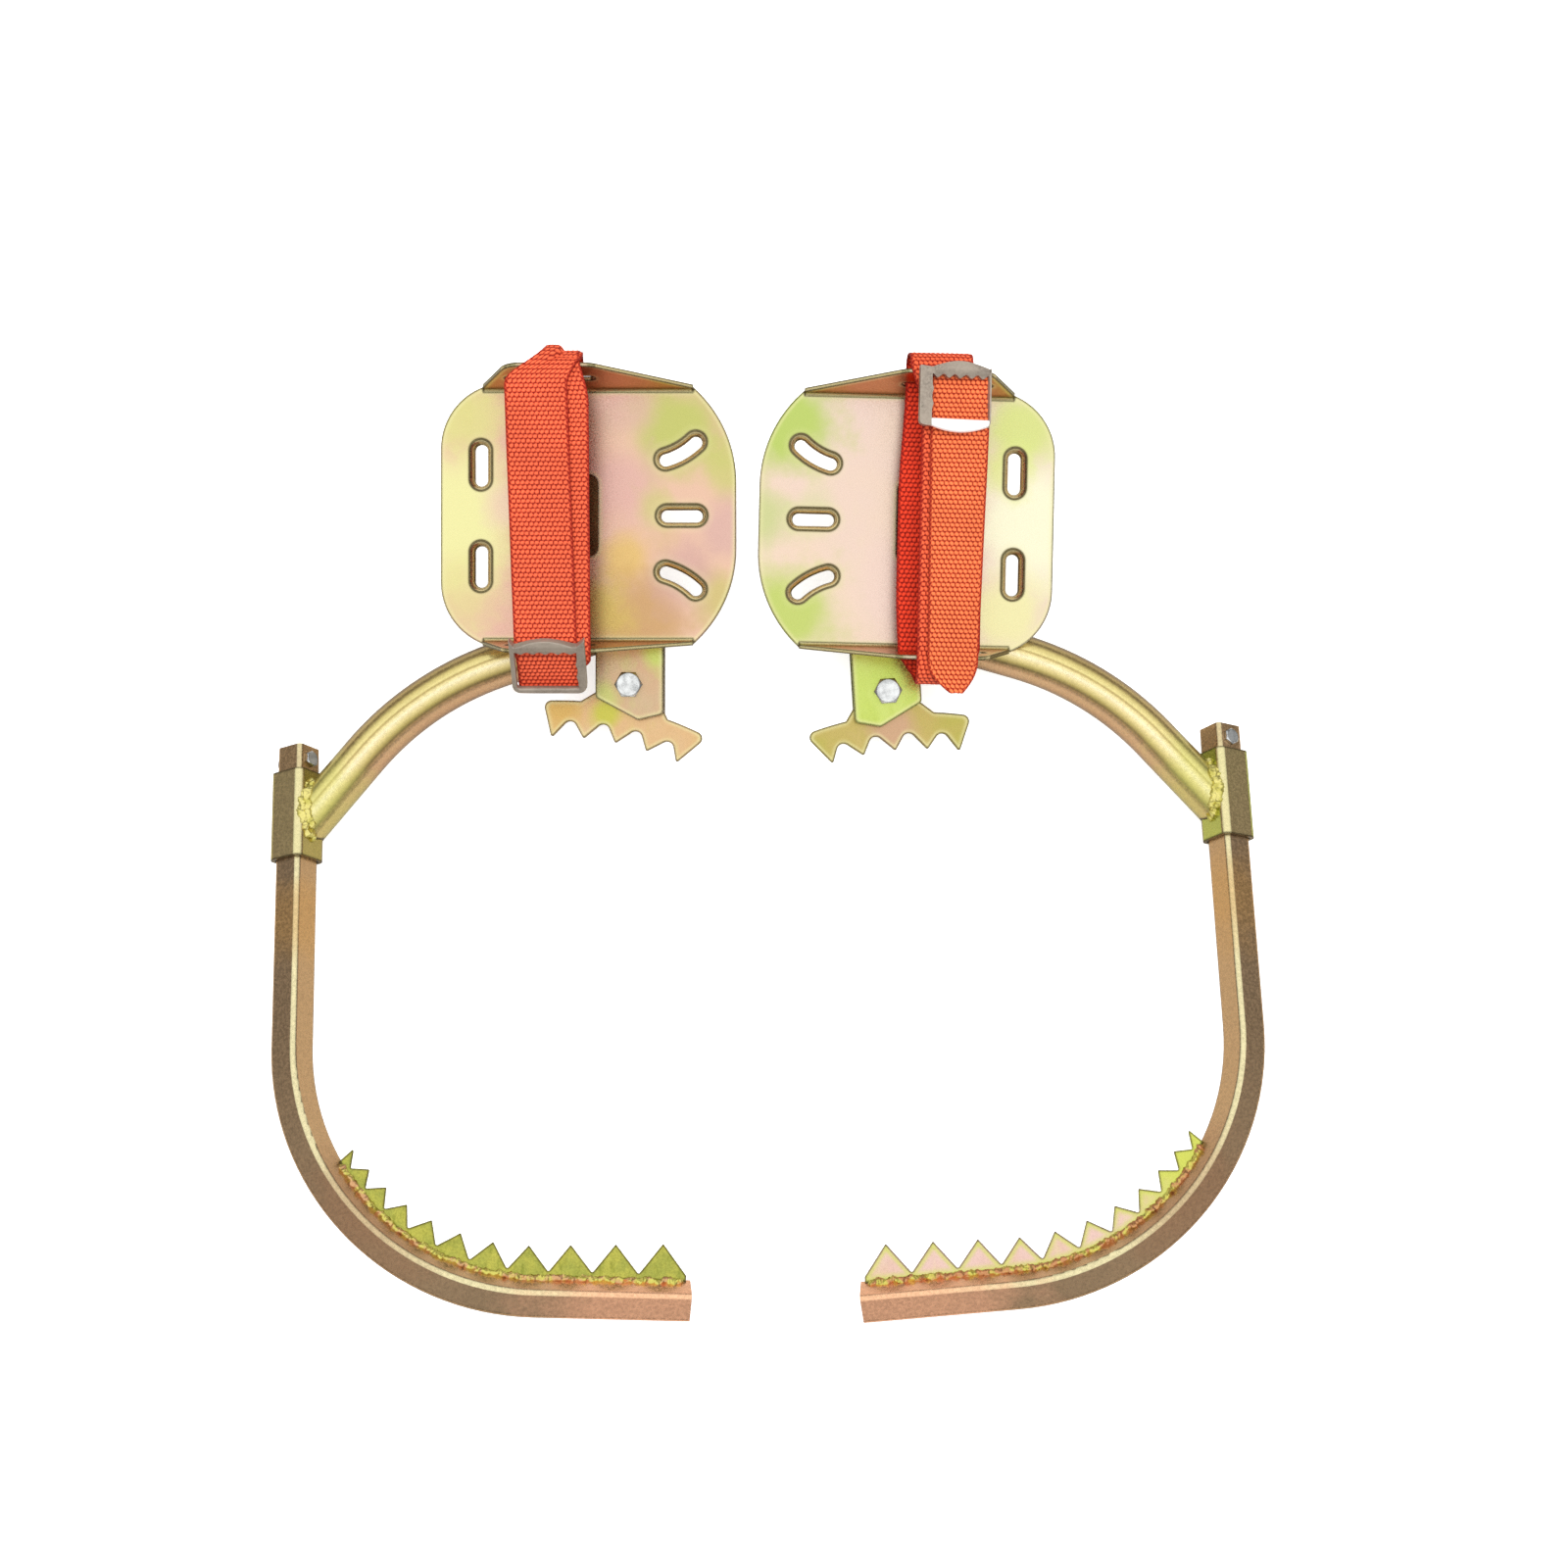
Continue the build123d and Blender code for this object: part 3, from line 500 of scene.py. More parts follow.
def buckle_frame(name, side):
    """Cast frame: a crowned head with a scalloped edge to bite, a broad toe rail and a slim heel rail."""
    heel, toe = -BUCKLE_SPAN[side] / 2, BUCKLE_SPAN[side] / 2
    heel_rail, toe_rail, foot, ear = HEEL_RAIL[side], TOE_RAIL[side], RAIL_FOOT[side], EAR_TOP[side]
    window = (heel + heel_rail, toe - toe_rail)
    sides = np.concatenate([np.linspace(heel, window[0], 3)[:-1], np.linspace(*window, 37),
                            np.linspace(window[1], toe, 5)[1:]])
    # Rows of the rails, closer at their rounded feet
    low = np.concatenate([foot + np.array([0, 0.5, 1.4, 2.4]), np.linspace(foot + 3.6, 8.0, 16)])
    head_rows = 5

    def across(x):
        return (x - window[0]) / (window[1] - window[0]) * 2 - 1

    def shape(column, row):
        x = sides[column]
        share = np.clip(across(x), -1, 1)
        out = np.maximum((window[0] - x) / heel_rail, (x - window[1]) / toe_rail)
        on_rail = out > -0.001
        crown = HEAD_SHOULDER + HEAD_CROWN * np.cos(share * pi / 2)
        tip = np.where(on_rail, HEAD_SHOULDER + (ear - HEAD_SHOULDER) * out, crown)
        root = np.where(on_rail, HEAD_LOW, scallops(share))
        head = np.clip((row - len(low)) / head_rows, 0, 1)
        fixed = low[np.minimum(row, len(low) - 1)]
        y = np.where(row < len(low), fixed, root + (tip - root) * head)
        rise = np.clip(y - foot, 0, FOOT_ROUND)
        inset = FOOT_ROUND - np.sqrt(FOOT_ROUND ** 2 - (FOOT_ROUND - rise) ** 2)
        rail = np.where(x > 0, toe_rail, heel_rail)
        pull = np.where(on_rail, np.clip(out, 0, 1) * np.minimum(inset, 0.6 * rail), 0) * (side == "right")
        nub = sum(np.exp(-((y - spot) / NUB_SPREAD) ** 2) for spot in NUBS) * NUB_REACH
        nub *= (np.abs(x - window[1]) < 0.01) & (row < len(low))
        return np.stack([x - np.sign(x) * pull - nub, y, 0 * x], 1) * MM

    piece = laid_grid(name, len(sides) - 1, len(low) + head_rows, shape)

    def cut_window():
        bpy.ops.mesh.select_all(action="DESELECT")
        bpy.ops.object.mode_set(mode="OBJECT")
        for face in piece.data.polygons:
            x, y = face.center.x / MM, face.center.y / MM
            face.select = window[0] + 0.2 < x < window[1] - 0.4 and bool(y < scallops(across(x)))
        bpy.ops.object.mode_set(mode="EDIT")
        bpy.ops.mesh.delete(type="FACE")
        bpy.ops.mesh.select_all(action="SELECT")

    def thicken():
        bpy.ops.mesh.extrude_region_move(TRANSFORM_OT_translate={"value": (0, 0, BUCKLE_DEPTH * MM)})
        bpy.ops.mesh.select_all(action="SELECT")

    in_edit(piece, cut_window, thicken, outward)
    for point in piece.data.vertices:
        x, y = point.co.x / MM, point.co.y / MM
        if not window[0] < x < window[1] - NUB_REACH:
            continue
        height = (y - HEAD_LOW) / (HEAD_SHOULDER + HEAD_CROWN - HEAD_LOW)
        if point.co.z > BUCKLE_DEPTH * MM / 2:
            dome = sin(pi * min(1.0, max(0.0, height + 0.15)))
            point.co.z += (HEAD_DOME * dome - BITE_FALL * max(0.0, 0.45 - height)) * MM
        else:
            point.co.z += HEAD_HOLLOW * MM
    bevel = {"width": CAST_BEVEL * MM, "segments": 2, "limit_method": "ANGLE", "angle_limit": radians(50)}
    finish_shape(piece, ("BEVEL", bevel), ("SUBSURF", {"levels": 1, "render_levels": 1}))
    return smooth(piece, 50)


def rounded_turn(turn, power):
    """Cosine and sine of a turn, squared off for the section of a casting."""
    c, s = np.cos(turn), np.sin(turn)
    return np.sign(c) * np.abs(c) ** power, np.sign(s) * np.abs(s) ** power


def right_buckle_bar(name):
    """Polished bar of the right buckle: straight along the webbing, bowed on its other side."""
    columns = 44
    high, thick, belly = -15.4, 4.5, 4.2
    level, half_deep = 2.6, 2.2
    half_span = BUCKLE_SPAN["right"] / 2
    ends = HEEL_RAIL["right"] / 2 - half_span, half_span - TOE_RAIL["right"] * 0.8

    def shape(column, row):
        along = column / columns
        reach = (thick + belly * (1 - (2 * along - 1) ** 2)) / 2
        wide, deep = rounded_turn(row / BAR_ROWS * tau, 0.75)
        return np.stack([between(along, *ends), high - reach + reach * wide, level + half_deep * deep], 1) * MM

    return closed_bar(name, columns, BAR_ROWS, shape, 50)


def left_buckle_bar(name):
    """Foot of the left buckle: a bar that turns up at both ends into the rails."""
    columns = 72
    level, half_deep, broad = 2.5, 2.3, 4.4
    widths = HEEL_RAIL["left"], TOE_RAIL["left"]
    heel, toe = (widths[0] - BUCKLE_SPAN["left"]) / 2, (BUCKLE_SPAN["left"] - widths[1]) / 2
    rise, middle = RAIL_FOOT["left"] + 0.6, LOWER_BAR + broad / 2
    corners = [(heel, rise), (heel, middle), (toe, middle), (toe, rise)]
    path = evenly(rounded_line(corners, [0, LOWER_BEND, LOWER_BEND, 0], False), columns)[0]
    ahead = headings(path)

    def shape(column, row):
        share = column / columns
        half = between(np.abs(2 * share - 1) ** 4, broad, between(share, *widths)) / 2
        wide, deep = rounded_turn(row / BAR_ROWS * tau, 0.7)
        x = path[column, 0] - ahead[column, 1] * half * wide
        y = path[column, 1] + ahead[column, 0] * half * wide
        return np.stack([x, y, level + half_deep * deep], 1) * MM

    return closed_bar(name, columns, BAR_ROWS, shape, 50)


def buckle_seat(side):
    """Matrix of the buckle's seat in the plate's frame: on the front of the strap, or on its slant."""
    if side == "right":
        return Matrix.Translation(UPPER_BUCKLE * MM) @ Matrix.Rotation(UPPER_ROLL, 4, "Y")
    up = Vector((0, SLANT_TOP - SLANT_BOTTOM, STRAP_FRONT - STRAP_BACK)).normalized()
    turn = Matrix((Vector((1, 0, 0)), up, Vector((1, 0, 0)).cross(up))).transposed().to_4x4()
    turn.translation = LOWER_BUCKLE * MM
    return turn


# Weld beads

BEAD_STEP, BEAD_AROUND = 0.55, 14
BEAD_BODY, BEAD_RIPPLE, FINE_SHARE = 0.88, 0.14, 0.45
LUMP_RATE, FINE_RATE, WANDER_RATE = 0.3, 0.9, 0.14
WANDER = 1.6
END_ROWS = 4
# A direction that no bead runs along
ASLANT = (0.31, 0.17, 0.93)
RAY_START, RAY_REACH, RAY_OFF_SKIN = 60, 75, 0.4
STRIP_BEAD_OUT, STRIP_BEAD_UP = 0.9, 0.5
CHEEK_BEAD_OUT, CHEEK_BEAD_INSET = 0.6, 2
PLATE_BEAD_OUT, PLATE_BEAD_DROP = 0.8, 2.2
PLATE_BEAD_FROM, PLATE_BEAD_TO = 26, ARM_UNDER_PLATE - 3


def weld_bead(name, spots, size, seed, lumps, flat=1.0, pitch=3.2):
    """A closed bead along spots, in metres, swelling and wandering from ripple to ripple."""
    spots = np.array([tuple(s) for s in spots])
    rows = max(12, int(run_along(spots)[-1] / (BEAD_STEP * MM)))
    path, steps = evenly(spots, rows)
    ahead = headings(path)
    aside = unit(np.cross(ahead, ASLANT))
    over = np.cross(aside, ahead)

    def shape(column, row):
        turn = column / BEAD_AROUND * tau
        place = []
        for c, r in zip(turn, row):
            run_mm = steps[r] / MM
            wave = BEAD_RIPPLE * abs(sin(pi * run_mm / pitch + 0.7 * sin(run_mm * 0.31 + seed)))
            lump = noise.noise((run_mm * LUMP_RATE, cos(c) * 0.9 + seed, sin(c) * 0.9))
            fine = noise.noise((run_mm * FINE_RATE, cos(c) * 1.8, sin(c) * 1.8 + seed * 3))
            end = min(1.0, (min(r, rows - r) + 0.02) / END_ROWS) ** 0.5
            reach = size * MM * end * (BEAD_BODY + wave + lumps * (lump + FINE_SHARE * fine))
            wander = noise.noise((run_mm * WANDER_RATE, seed * 2.0, 5.0)) * lumps * WANDER * MM
            place.append(path[r] + aside[r] * (cos(c) * reach + wander) + over[r] * sin(c) * reach * flat)
        return np.array(place)

    return closed_bar(name, BEAD_AROUND, rows, shape, 70)


def surface(node):
    """Skin of a CAD node, for finding where lines meet it."""
    mesh = frame["nodes"][node].data
    return BVHTree.FromPolygons([v.co for v in mesh.vertices], [p.vertices[:] for p in mesh.polygons])


def sleeve_weld_path(side, turns, back_off):
    """Where the arm's skin meets the sleeve between two turns from its front, found by lines along the arm."""
    place = iron_place(side)
    heading = ARM_HEADING + ARM_TURN
    ahead = (place.to_3x3() @ Vector((cos(heading), sin(heading), 0))).normalized()
    low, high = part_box(f"{side}_sleeve")
    middle = (low + high) / 2 - place.to_3x3() @ Vector((0, SLEEVE_RISE, SLEEVE_LIFT)) * MM
    up = place.to_3x3() @ Vector((0, 0, 1))
    aside = place.to_3x3() @ Vector((sin(heading), -cos(heading), 0))
    skin = surface(f"{side}_sleeve")
    spots = []
    for turn in np.linspace(*turns, 40):
        off_axis = (up * cos(turn) + aside * sin(turn)) * (ARM_RADIUS + RAY_OFF_SKIN) * MM
        start = middle - ahead * RAY_START * MM + off_axis
        hit = skin.ray_cast(start, ahead)[0]
        if hit is not None and (hit - start).length < RAY_REACH * MM:
            spots.append(hit - ahead * back_off * MM)
    return spots


def strip_weld_path(side, front):
    """Foot of the tooth strip on one side of the hook, on the bar's inner corner."""
    place = hook_place(side)
    level = (STRIP_HALF + STRIP_BEAD_OUT) * (1 if front else -1)
    if front:
        depth = (BAR_HALF - level * sin(BAR_ROLL)) / cos(BAR_ROLL)
    else:
        depth = (BAR_HALF + level * cos(BAR_ROLL)) / sin(BAR_ROLL)
    spots = []
    radius = HOOK_RADIUS - depth - STRIP_BEAD_UP
    for angle in np.linspace(STRIP_BEGIN + 0.01, HOOK_TURN, 60):
        spots.append(Vector((HOOK_RADIUS - radius * cos(angle), -BAR_STRAIGHT - radius * sin(angle), level)))
    last = spots[-1]
    for step in np.linspace(3, STRIP_ON_LEG, 30):
        spots.append(last + Vector((sin(HOOK_TURN), -cos(HOOK_TURN), 0)) * step)
    return [place @ (s * MM) for s in spots]


def beside_arm(side, alongs, away, level):
    """Points in the floor's frame beside the arm's straight run, at a height and a distance from its axis."""
    place = iron_place(side)
    ahead = Vector((-cos(ARM_HEADING), -sin(ARM_HEADING), 0))
    below = Vector((ahead.y, -ahead.x, 0))
    lift = Vector((0, 0, level - ARM_AXIS_Z))
    return [place @ ((ARM_START + ahead * along + below * away + lift) * MM) for along in alongs]


def cheek_weld_path(side, level):
    """Line where a cheek's outer face runs into the arm."""
    away = sqrt(ARM_RADIUS ** 2 - (level - ARM_AXIS_Z) ** 2) + CHEEK_BEAD_OUT
    start = (-ARM_START.x + sin(ARM_HEADING) * away) / -cos(ARM_HEADING)
    across = np.linspace(CHEEK_HEEL_X + CHEEK_BEAD_INSET, CHEEK_TOE_X - CHEEK_BEAD_INSET, 30)
    return beside_arm(side, across / -cos(ARM_HEADING) + start, away, level)


def plate_weld_path(side, edge):
    """Groove between the arm and the back of the plate, on one side of the arm."""
    level = PLATE_BACK - PLATE_BEAD_DROP
    away = sqrt(ARM_RADIUS ** 2 - (level - ARM_AXIS_Z) ** 2) + PLATE_BEAD_OUT
    return beside_arm(side, np.linspace(PLATE_BEAD_FROM, PLATE_BEAD_TO, 40), away * edge, level)


# Finishes

FINE_RELIEF = 0.2 * MM


def paint(red, green, blue, share=1.0):
    """Linear colour from the 0 to 255 values of a paint chip."""
    def linear(value):
        value /= 255
        return value / 12.92 if value <= 0.04045 else ((value + 0.055) / 1.055) ** 2.4
    return (linear(red), linear(green), linear(blue), share)


class Bench:
    """Adds nodes to one tree; an input is given a value, or the socket that it is joined to."""

    def __init__(self, tree):
        self.tree = tree

    def fill(self, node, inputs):
        for key, value in inputs.items():
            if isinstance(value, bpy.types.NodeSocket):
                self.tree.links.new(value, node.inputs[key])
            else:
                node.inputs[key].default_value = value
        return node

    def put(self, kind, inputs=None, **settings):
        node = self.tree.nodes.new("ShaderNode" + kind)
        for key, value in settings.items():
            setattr(node, key, value)
        return self.fill(node, inputs or {})

    def math(self, operation, first, second=0.0, clamp=False):
        return self.put("Math", {0: first, 1: second}, operation=operation, use_clamp=clamp).outputs[0]

    def mix(self, share, under, over, blend="MIX"):
        return self.put("Mix", {0: share, 6: under, 7: over}, data_type="RGBA", blend_type=blend).outputs[2]

    def shaded(self, colour, tone):
        grey = self.put("CombineColor", {0: tone, 1: tone, 2: tone}).outputs[0]
        return self.mix(1.0, colour, grey, "MULTIPLY")

    def noise(self, vector, scale, detail=2.0, rough=0.5):
        return self.put("TexNoise", {"Vector": vector, "Scale": scale, "Detail": detail,
                                     "Roughness": rough}).outputs["Fac"]

    def spread(self, value, low, high, to_low=0.0, to_high=1.0):
        return self.put("MapRange", {0: value, 1: low, 2: high, 3: to_low, 4: to_high}, clamp=True,
                        interpolation_type="SMOOTHSTEP").outputs[0]

    def stretch(self, vector, scale, turn):
        return self.put("Mapping", {"Vector": vector, "Scale": scale, "Rotation": turn}).outputs[0]

    def agree(self, first, second):
        """How far two directions agree: 1 along each other, 0 square to each other."""
        return self.put("VectorMath", {0: first, 1: second}, operation="DOT_PRODUCT").outputs["Value"]

    def relief(self, height, strength, **inputs):
        """Normal of a skin with a fine relief of that height."""
        given = {"Height": height, "Strength": strength, "Distance": FINE_RELIEF, **inputs}
        return self.put("Bump", given).outputs[0]

    def soft_edge(self, radius):
        return self.put("Bevel", {"Radius": radius * MM}, samples=4).outputs[0]

    def on_piece(self):
        return self.put("TexCoord").outputs["Object"]

    def ramp(self, value, stops):
        """Colour and share at a value from -1 to 1, drawn between stops of (value, colour with its share)."""
        even = self.put("MapRange", {0: value, 1: -1.0, 2: 1.0, 3: 0.0, 4: 1.0}, clamp=True).outputs[0]
        node = self.put("ValToRGB", {0: even})
        points = node.color_ramp.elements
        points[0].position, points[0].color = stops[0][0] / 2 + 0.5, stops[0][1]
        points[1].position, points[1].color = stops[-1][0] / 2 + 0.5, stops[-1][1]
        for place, colour in stops[1:-1]:
            points.new(place / 2 + 0.5).color = colour
        return node.outputs

    def group(self, tree, inputs):
        node = self.put("Group")
        node.node_tree = tree
        return self.fill(node, inputs).outputs


def new_group(name, inputs, outputs):
    """Empty shader group with named sockets; returns its bench, its inputs and its output node."""
    tree = bpy.data.node_groups.new(name, "ShaderNodeTree")
    for key, kind in inputs.items():
        tree.interface.new_socket(key, in_out="INPUT", socket_type="NodeSocket" + kind)
    for key, kind in outputs.items():
        tree.interface.new_socket(key, in_out="OUTPUT", socket_type="NodeSocket" + kind)
    bench = Bench(tree)
    return bench, tree.nodes.new("NodeGroupInput").outputs, tree.nodes.new("NodeGroupOutput")


def bloom_group():
    """Drifting colours of a passivated zinc skin: a ground colour with two others in soft clouds."""
    sockets = {"Vector": "Vector", "Size": "Float", "Ground": "Color", "Cloud": "Color", "Streak": "Color"}
    bench, given, result = new_group("passivated_bloom", sockets, {"Color": "Color"})
    cloud = bench.spread(bench.noise(given["Vector"], given["Size"], 3, 0.55), 0.38, 0.66)
    drawn = bench.stretch(given["Vector"], (1.0, 0.35, 1.0), (0, 0, 0.5))
    finer = bench.math("MULTIPLY", given["Size"], 3.1)
    streak = bench.spread(bench.noise(drawn, finer, 4, 0.6), 0.5, 0.74)
    colour = bench.mix(cloud, given["Ground"], given["Cloud"])
    colour = bench.mix(bench.math("MULTIPLY", streak, 0.6), colour, given["Streak"])
    bench.fill(result, {"Color": colour})
    return bench.tree


def patch_group():
    """Soft-edged patch round a place: 1 at its middle, 0 past its reach, with a wavering rim."""
    bench, given, result = new_group("soft_patch", {"Vector": "Vector", "Place": "Vector", "Reach": "Float"},
                                     {"Mask": "Float"})
    away = bench.put("VectorMath", {0: given["Vector"], 1: given["Place"]}, operation="DISTANCE").outputs["Value"]
    waver = bench.spread(bench.noise(given["Vector"], 34, 4, 0.6), 0, 1, 0.5, 1.5)
    share = bench.math("DIVIDE", bench.math("MULTIPLY", away, waver), given["Reach"])
    bench.fill(result, {"Mask": bench.spread(share, 0.25, 1.0, 1.0, 0.0)})
    return bench.tree


def grain_group():
    """Fine mottled grain of rolled and plated steel: a tone, a roughness share and a height."""
    bench, given, result = new_group("rolled_grain", {"Vector": "Vector", "Scale": "Float"},
                                     {"Tone": "Float", "Rough": "Float", "Height": "Float"})
    coarse = bench.noise(given["Vector"], given["Scale"], 4, 0.65)
    fine = bench.noise(given["Vector"], bench.math("MULTIPLY", given["Scale"], 3.7), 3, 0.6)
    both = bench.math("ADD", bench.math("MULTIPLY", coarse, 0.6), bench.math("MULTIPLY", fine, 0.4))
    bench.fill(result, {"Tone": bench.spread(both, 0.3, 0.7), "Rough": bench.spread(coarse, 0.3, 0.75),
                        "Height": both})
    return bench.tree


def edge_group():
    """Band along the edges of a piece: 1 at the edge, fading over the given reach."""
    bench, given, result = new_group("edge_band", {"Reach": "Float", "Bite": "Float"}, {"Mask": "Float"})
    bevel = bench.put("Bevel", {"Radius": given["Reach"]}, samples=6).outputs[0]
    lost = bench.math("SUBTRACT", 1.0, bench.agree(bevel, bench.put("NewGeometry").outputs["Normal"]))
    bench.fill(result, {"Mask": bench.math("MULTIPLY", lost, given["Bite"], clamp=True)})
    return bench.tree


def facing_group():
    """How far the skin faces along an axis: 1 along it, 0 square to it, -1 against it."""
    bench, given, result = new_group("facing", {"Axis": "Vector"}, {"Value": "Float"})
    bench.fill(result, {"Value": bench.agree(bench.put("TexCoord").outputs["Normal"], given["Axis"])})
    return bench.tree


BLOOM, PATCH, GRAIN, EDGE, FACING = bloom_group(), patch_group(), grain_group(), edge_group(), facing_group()


def new_finish(name):
    """New material, with the bench of its nodes and its shader."""
    finish = bpy.data.materials.new(name)
    finish.use_nodes = True
    return finish, Bench(finish.node_tree), finish.node_tree.nodes["Principled BSDF"]


def plated(name, colours, size, patches=(), turned=None, stains=(), rims=(), grain=900.0, depth=0.12,
           rough=(0.2, 0.36), tone=(0.9, 1.06), metallic=1.0):
    """Passivated zinc on steel: drifting colours and patches, painted shade and highlights by how the skin is
    turned, stains over those, bands along the edges (painted edge shade and highlights, and lime bands on the tooth
    strips) and a fine grain."""
    finish, bench, shader = new_finish(name)
    vector = bench.on_piece()
    ground, cloud, streak = colours
    colour = bench.group(BLOOM, {"Vector": vector, "Size": size, "Ground": ground, "Cloud": cloud,
                                 "Streak": streak})["Color"]

    def dabbed(under, dabs):
        for place, reach, over in dabs:
            mask = bench.group(PATCH, {"Vector": vector, "Place": place, "Reach": reach * MM})["Mask"]
            under = bench.mix(bench.math("MULTIPLY", mask, over[3]), under, over)
        return under

    colour = dabbed(colour, patches)
    # Painted shade and highlights, laid by how the skin is turned
    if turned:
        axis, stops = turned
        over = bench.ramp(bench.group(FACING, {"Axis": axis})["Value"], stops)
        colour = bench.mix(over["Alpha"], colour, over["Color"])
    colour = dabbed(colour, stains)
    # Bands along the edges: painted edge shade and highlights, and the tooth strips' lime bands
    for reach, bite, over in rims:
        mask = bench.group(EDGE, {"Reach": reach * MM, "Bite": bite})["Mask"]
        colour = bench.mix(bench.math("MULTIPLY", mask, over[3]), colour, over)
    marks = bench.group(GRAIN, {"Vector": vector, "Scale": grain})
    colour = bench.shaded(colour, bench.spread(marks["Tone"], 0, 1, *tone))
    bench.fill(shader, {"Base Color": colour, "Roughness": bench.spread(marks["Rough"], 0, 1, *rough),
                        "Metallic": metallic,
                        "Normal": bench.relief(marks["Height"], depth, Normal=bench.soft_edge(0.4))})
    return finish


def webbing(name, groove_shade, crown, selvedge_red, deep):
    """Woven strap: bright crowns over grooves darkened with painted shade, the back run under the front run
    deepened red with painted shade, worn here and there, and darker along the selvedge."""
    finish, bench, shader = new_finish(name)
    vector = bench.on_piece()
    weave, edge, behind = (bench.put("Attribute", attribute_name=key).outputs["Fac"]
                           for key in ("weave", "selvedge", "behind"))
    # Crowns over grooves darkened with painted shade, by the weave's height
    colour = bench.mix(bench.spread(weave, 0.1, 0.95), groove_shade, crown)
    # Painted shade on the back run, under the front run
    colour = bench.mix(bench.math("MULTIPLY", behind, deep[3]), colour, deep, "MULTIPLY")
    yarn = bench.noise(vector, 2600, 3, 0.7)
    wear = bench.spread(bench.noise(vector, 30, 3), 0.35, 0.75, 0.92, 1.06)
    tone = bench.math("MULTIPLY", bench.spread(yarn, 0.25, 0.75, 0.84, 1.12), wear)
    colour = bench.shaded(colour, tone)
    # Darker along the selvedge
    colour = bench.mix(bench.math("MULTIPLY", edge, 0.5), colour, selvedge_red)
    bench.fill(shader, {"Base Color": colour, "Roughness": 0.72, "Specular IOR Level": 0.25,
                        "Normal": bench.relief(yarn, 0.35)})
    return finish


def bare_metal(name, light, dark, scale, rough, metallic, depth, rim=None):
    """Bright plated or cast metal with a cloudy tone, a fine surface and, where given, an edge band: painted dark
    edge shade on the bright zinc, a lighter band on the cast zinc.
    """
    finish, bench, shader = new_finish(name)
    vector = bench.on_piece()
    marks = bench.group(GRAIN, {"Vector": vector, "Scale": scale})
    cloud = bench.spread(bench.noise(vector, scale / 14, 3), 0.35, 0.7)
    colour = bench.mix(bench.math("MULTIPLY", cloud, marks["Tone"]), light, dark)
    # Band along the edges: painted dark edge shade on the bright zinc, a lighter band on the cast zinc
    if rim:
        reach, bite, over = rim
        colour = bench.mix(bench.group(EDGE, {"Reach": reach * MM, "Bite": bite})["Mask"], colour, over)
    bench.fill(shader, {"Base Color": colour, "Roughness": bench.spread(marks["Rough"], 0, 1, *rough),
                        "Metallic": metallic,
                        "Normal": bench.relief(marks["Height"], depth, Normal=bench.soft_edge(0.5))})
    return finish


def weld_finish(name, bright, fleck, burnt, burn):
    """Weld metal under the zinc: bright crests with flecks, and burnt pits, fewer the higher burn is."""
    finish, bench, shader = new_finish(name)
    vector = bench.on_piece()
    flecks = bench.spread(bench.noise(vector, 160, 3), 0.42, 0.62)
    pits = bench.spread(bench.noise(vector, 420, 4, 0.7), burn, burn + 0.2)
    colour = bench.mix(pits, bench.mix(flecks, bright, fleck), burnt)
    bench.fill(shader, {"Base Color": colour, "Roughness": bench.spread(pits, 0, 1, 0.22, 0.5), "Metallic": 0.9,
                        "Normal": bench.relief(bench.noise(vector, 800, 3), 0.25, Distance=2 * FINE_RELIEF)})
    return finish


LIME, OLIVE, AMBER = paint(206, 214, 118), paint(176, 178, 84), paint(222, 182, 108)
HONEY, KHAKI = paint(234, 212, 154), paint(196, 172, 120)
# Bands along an edge: reach in millimetres, bite and colour; the dark one is painted shade and the pale one a
# painted highlight along the edges
PAINTED_EDGE_SHADE = (2.4, 20.0, paint(70, 56, 32, 0.95))
PAINTED_EDGE_HIGHLIGHT = (6.0, 14.0, paint(246, 240, 180, 0.7))
TUBE_SHARE = 0.86
# Surfaces of the plated pieces
SHEET_SKIN = {"size": 8.0, "rims": (PAINTED_EDGE_HIGHLIGHT, PAINTED_EDGE_SHADE), "grain": 1300, "depth": 0.06, "rough": (0.24, 0.4),
              "tone": (0.95, 1.03)}
CUT_SKIN = {"size": 26.0, "rims": (PAINTED_EDGE_HIGHLIGHT, PAINTED_EDGE_SHADE), "grain": 900, "depth": 0.1}
TUBE_SKIN = {"size": 16.0, "rims": (PAINTED_EDGE_SHADE,), "grain": 500, "depth": 0.12, "rough": (0.2, 0.34),
             "tone": (0.84, 1.08), "metallic": 0.8}
SLEEVE_SKIN = {"size": 20.0, "rims": (PAINTED_EDGE_SHADE,), "grain": 600, "depth": 0.2, "rough": (0.2, 0.34),
               "tone": (0.84, 1.08), "metallic": 0.9}
BAR_SKIN = {"size": 22.0, "grain": 520, "depth": 0.3, "rough": (0.2, 0.36), "tone": (0.78, 1.12), "metallic": 0.9}

# Colours by how the skin is turned, from -1 for its back to 1 for its front: painted shade and painted highlights
# Dark and bright bands on the plates' lips, fillets and flanges, standing in for their shade and reflections
SHEET_FACING_SHADE = [(-1, paint(205, 172, 112, 0)), (-0.55, paint(205, 172, 112, 0)), (-0.35, paint(205, 172, 112)),
               (-0.1, paint(205, 172, 112)), (0.05, paint(170, 118, 70)), (0.17, paint(210, 138, 84)),
               (0.3, paint(206, 136, 84)), (0.36, paint(96, 70, 42)), (0.48, paint(96, 70, 42)),
               (0.54, paint(255, 232, 176)), (0.86, paint(250, 226, 168)), (0.9, paint(70, 50, 26)),
               (0.985, paint(70, 50, 26)), (0.9965, paint(70, 50, 26, 0)), (1, paint(70, 50, 26, 0))]
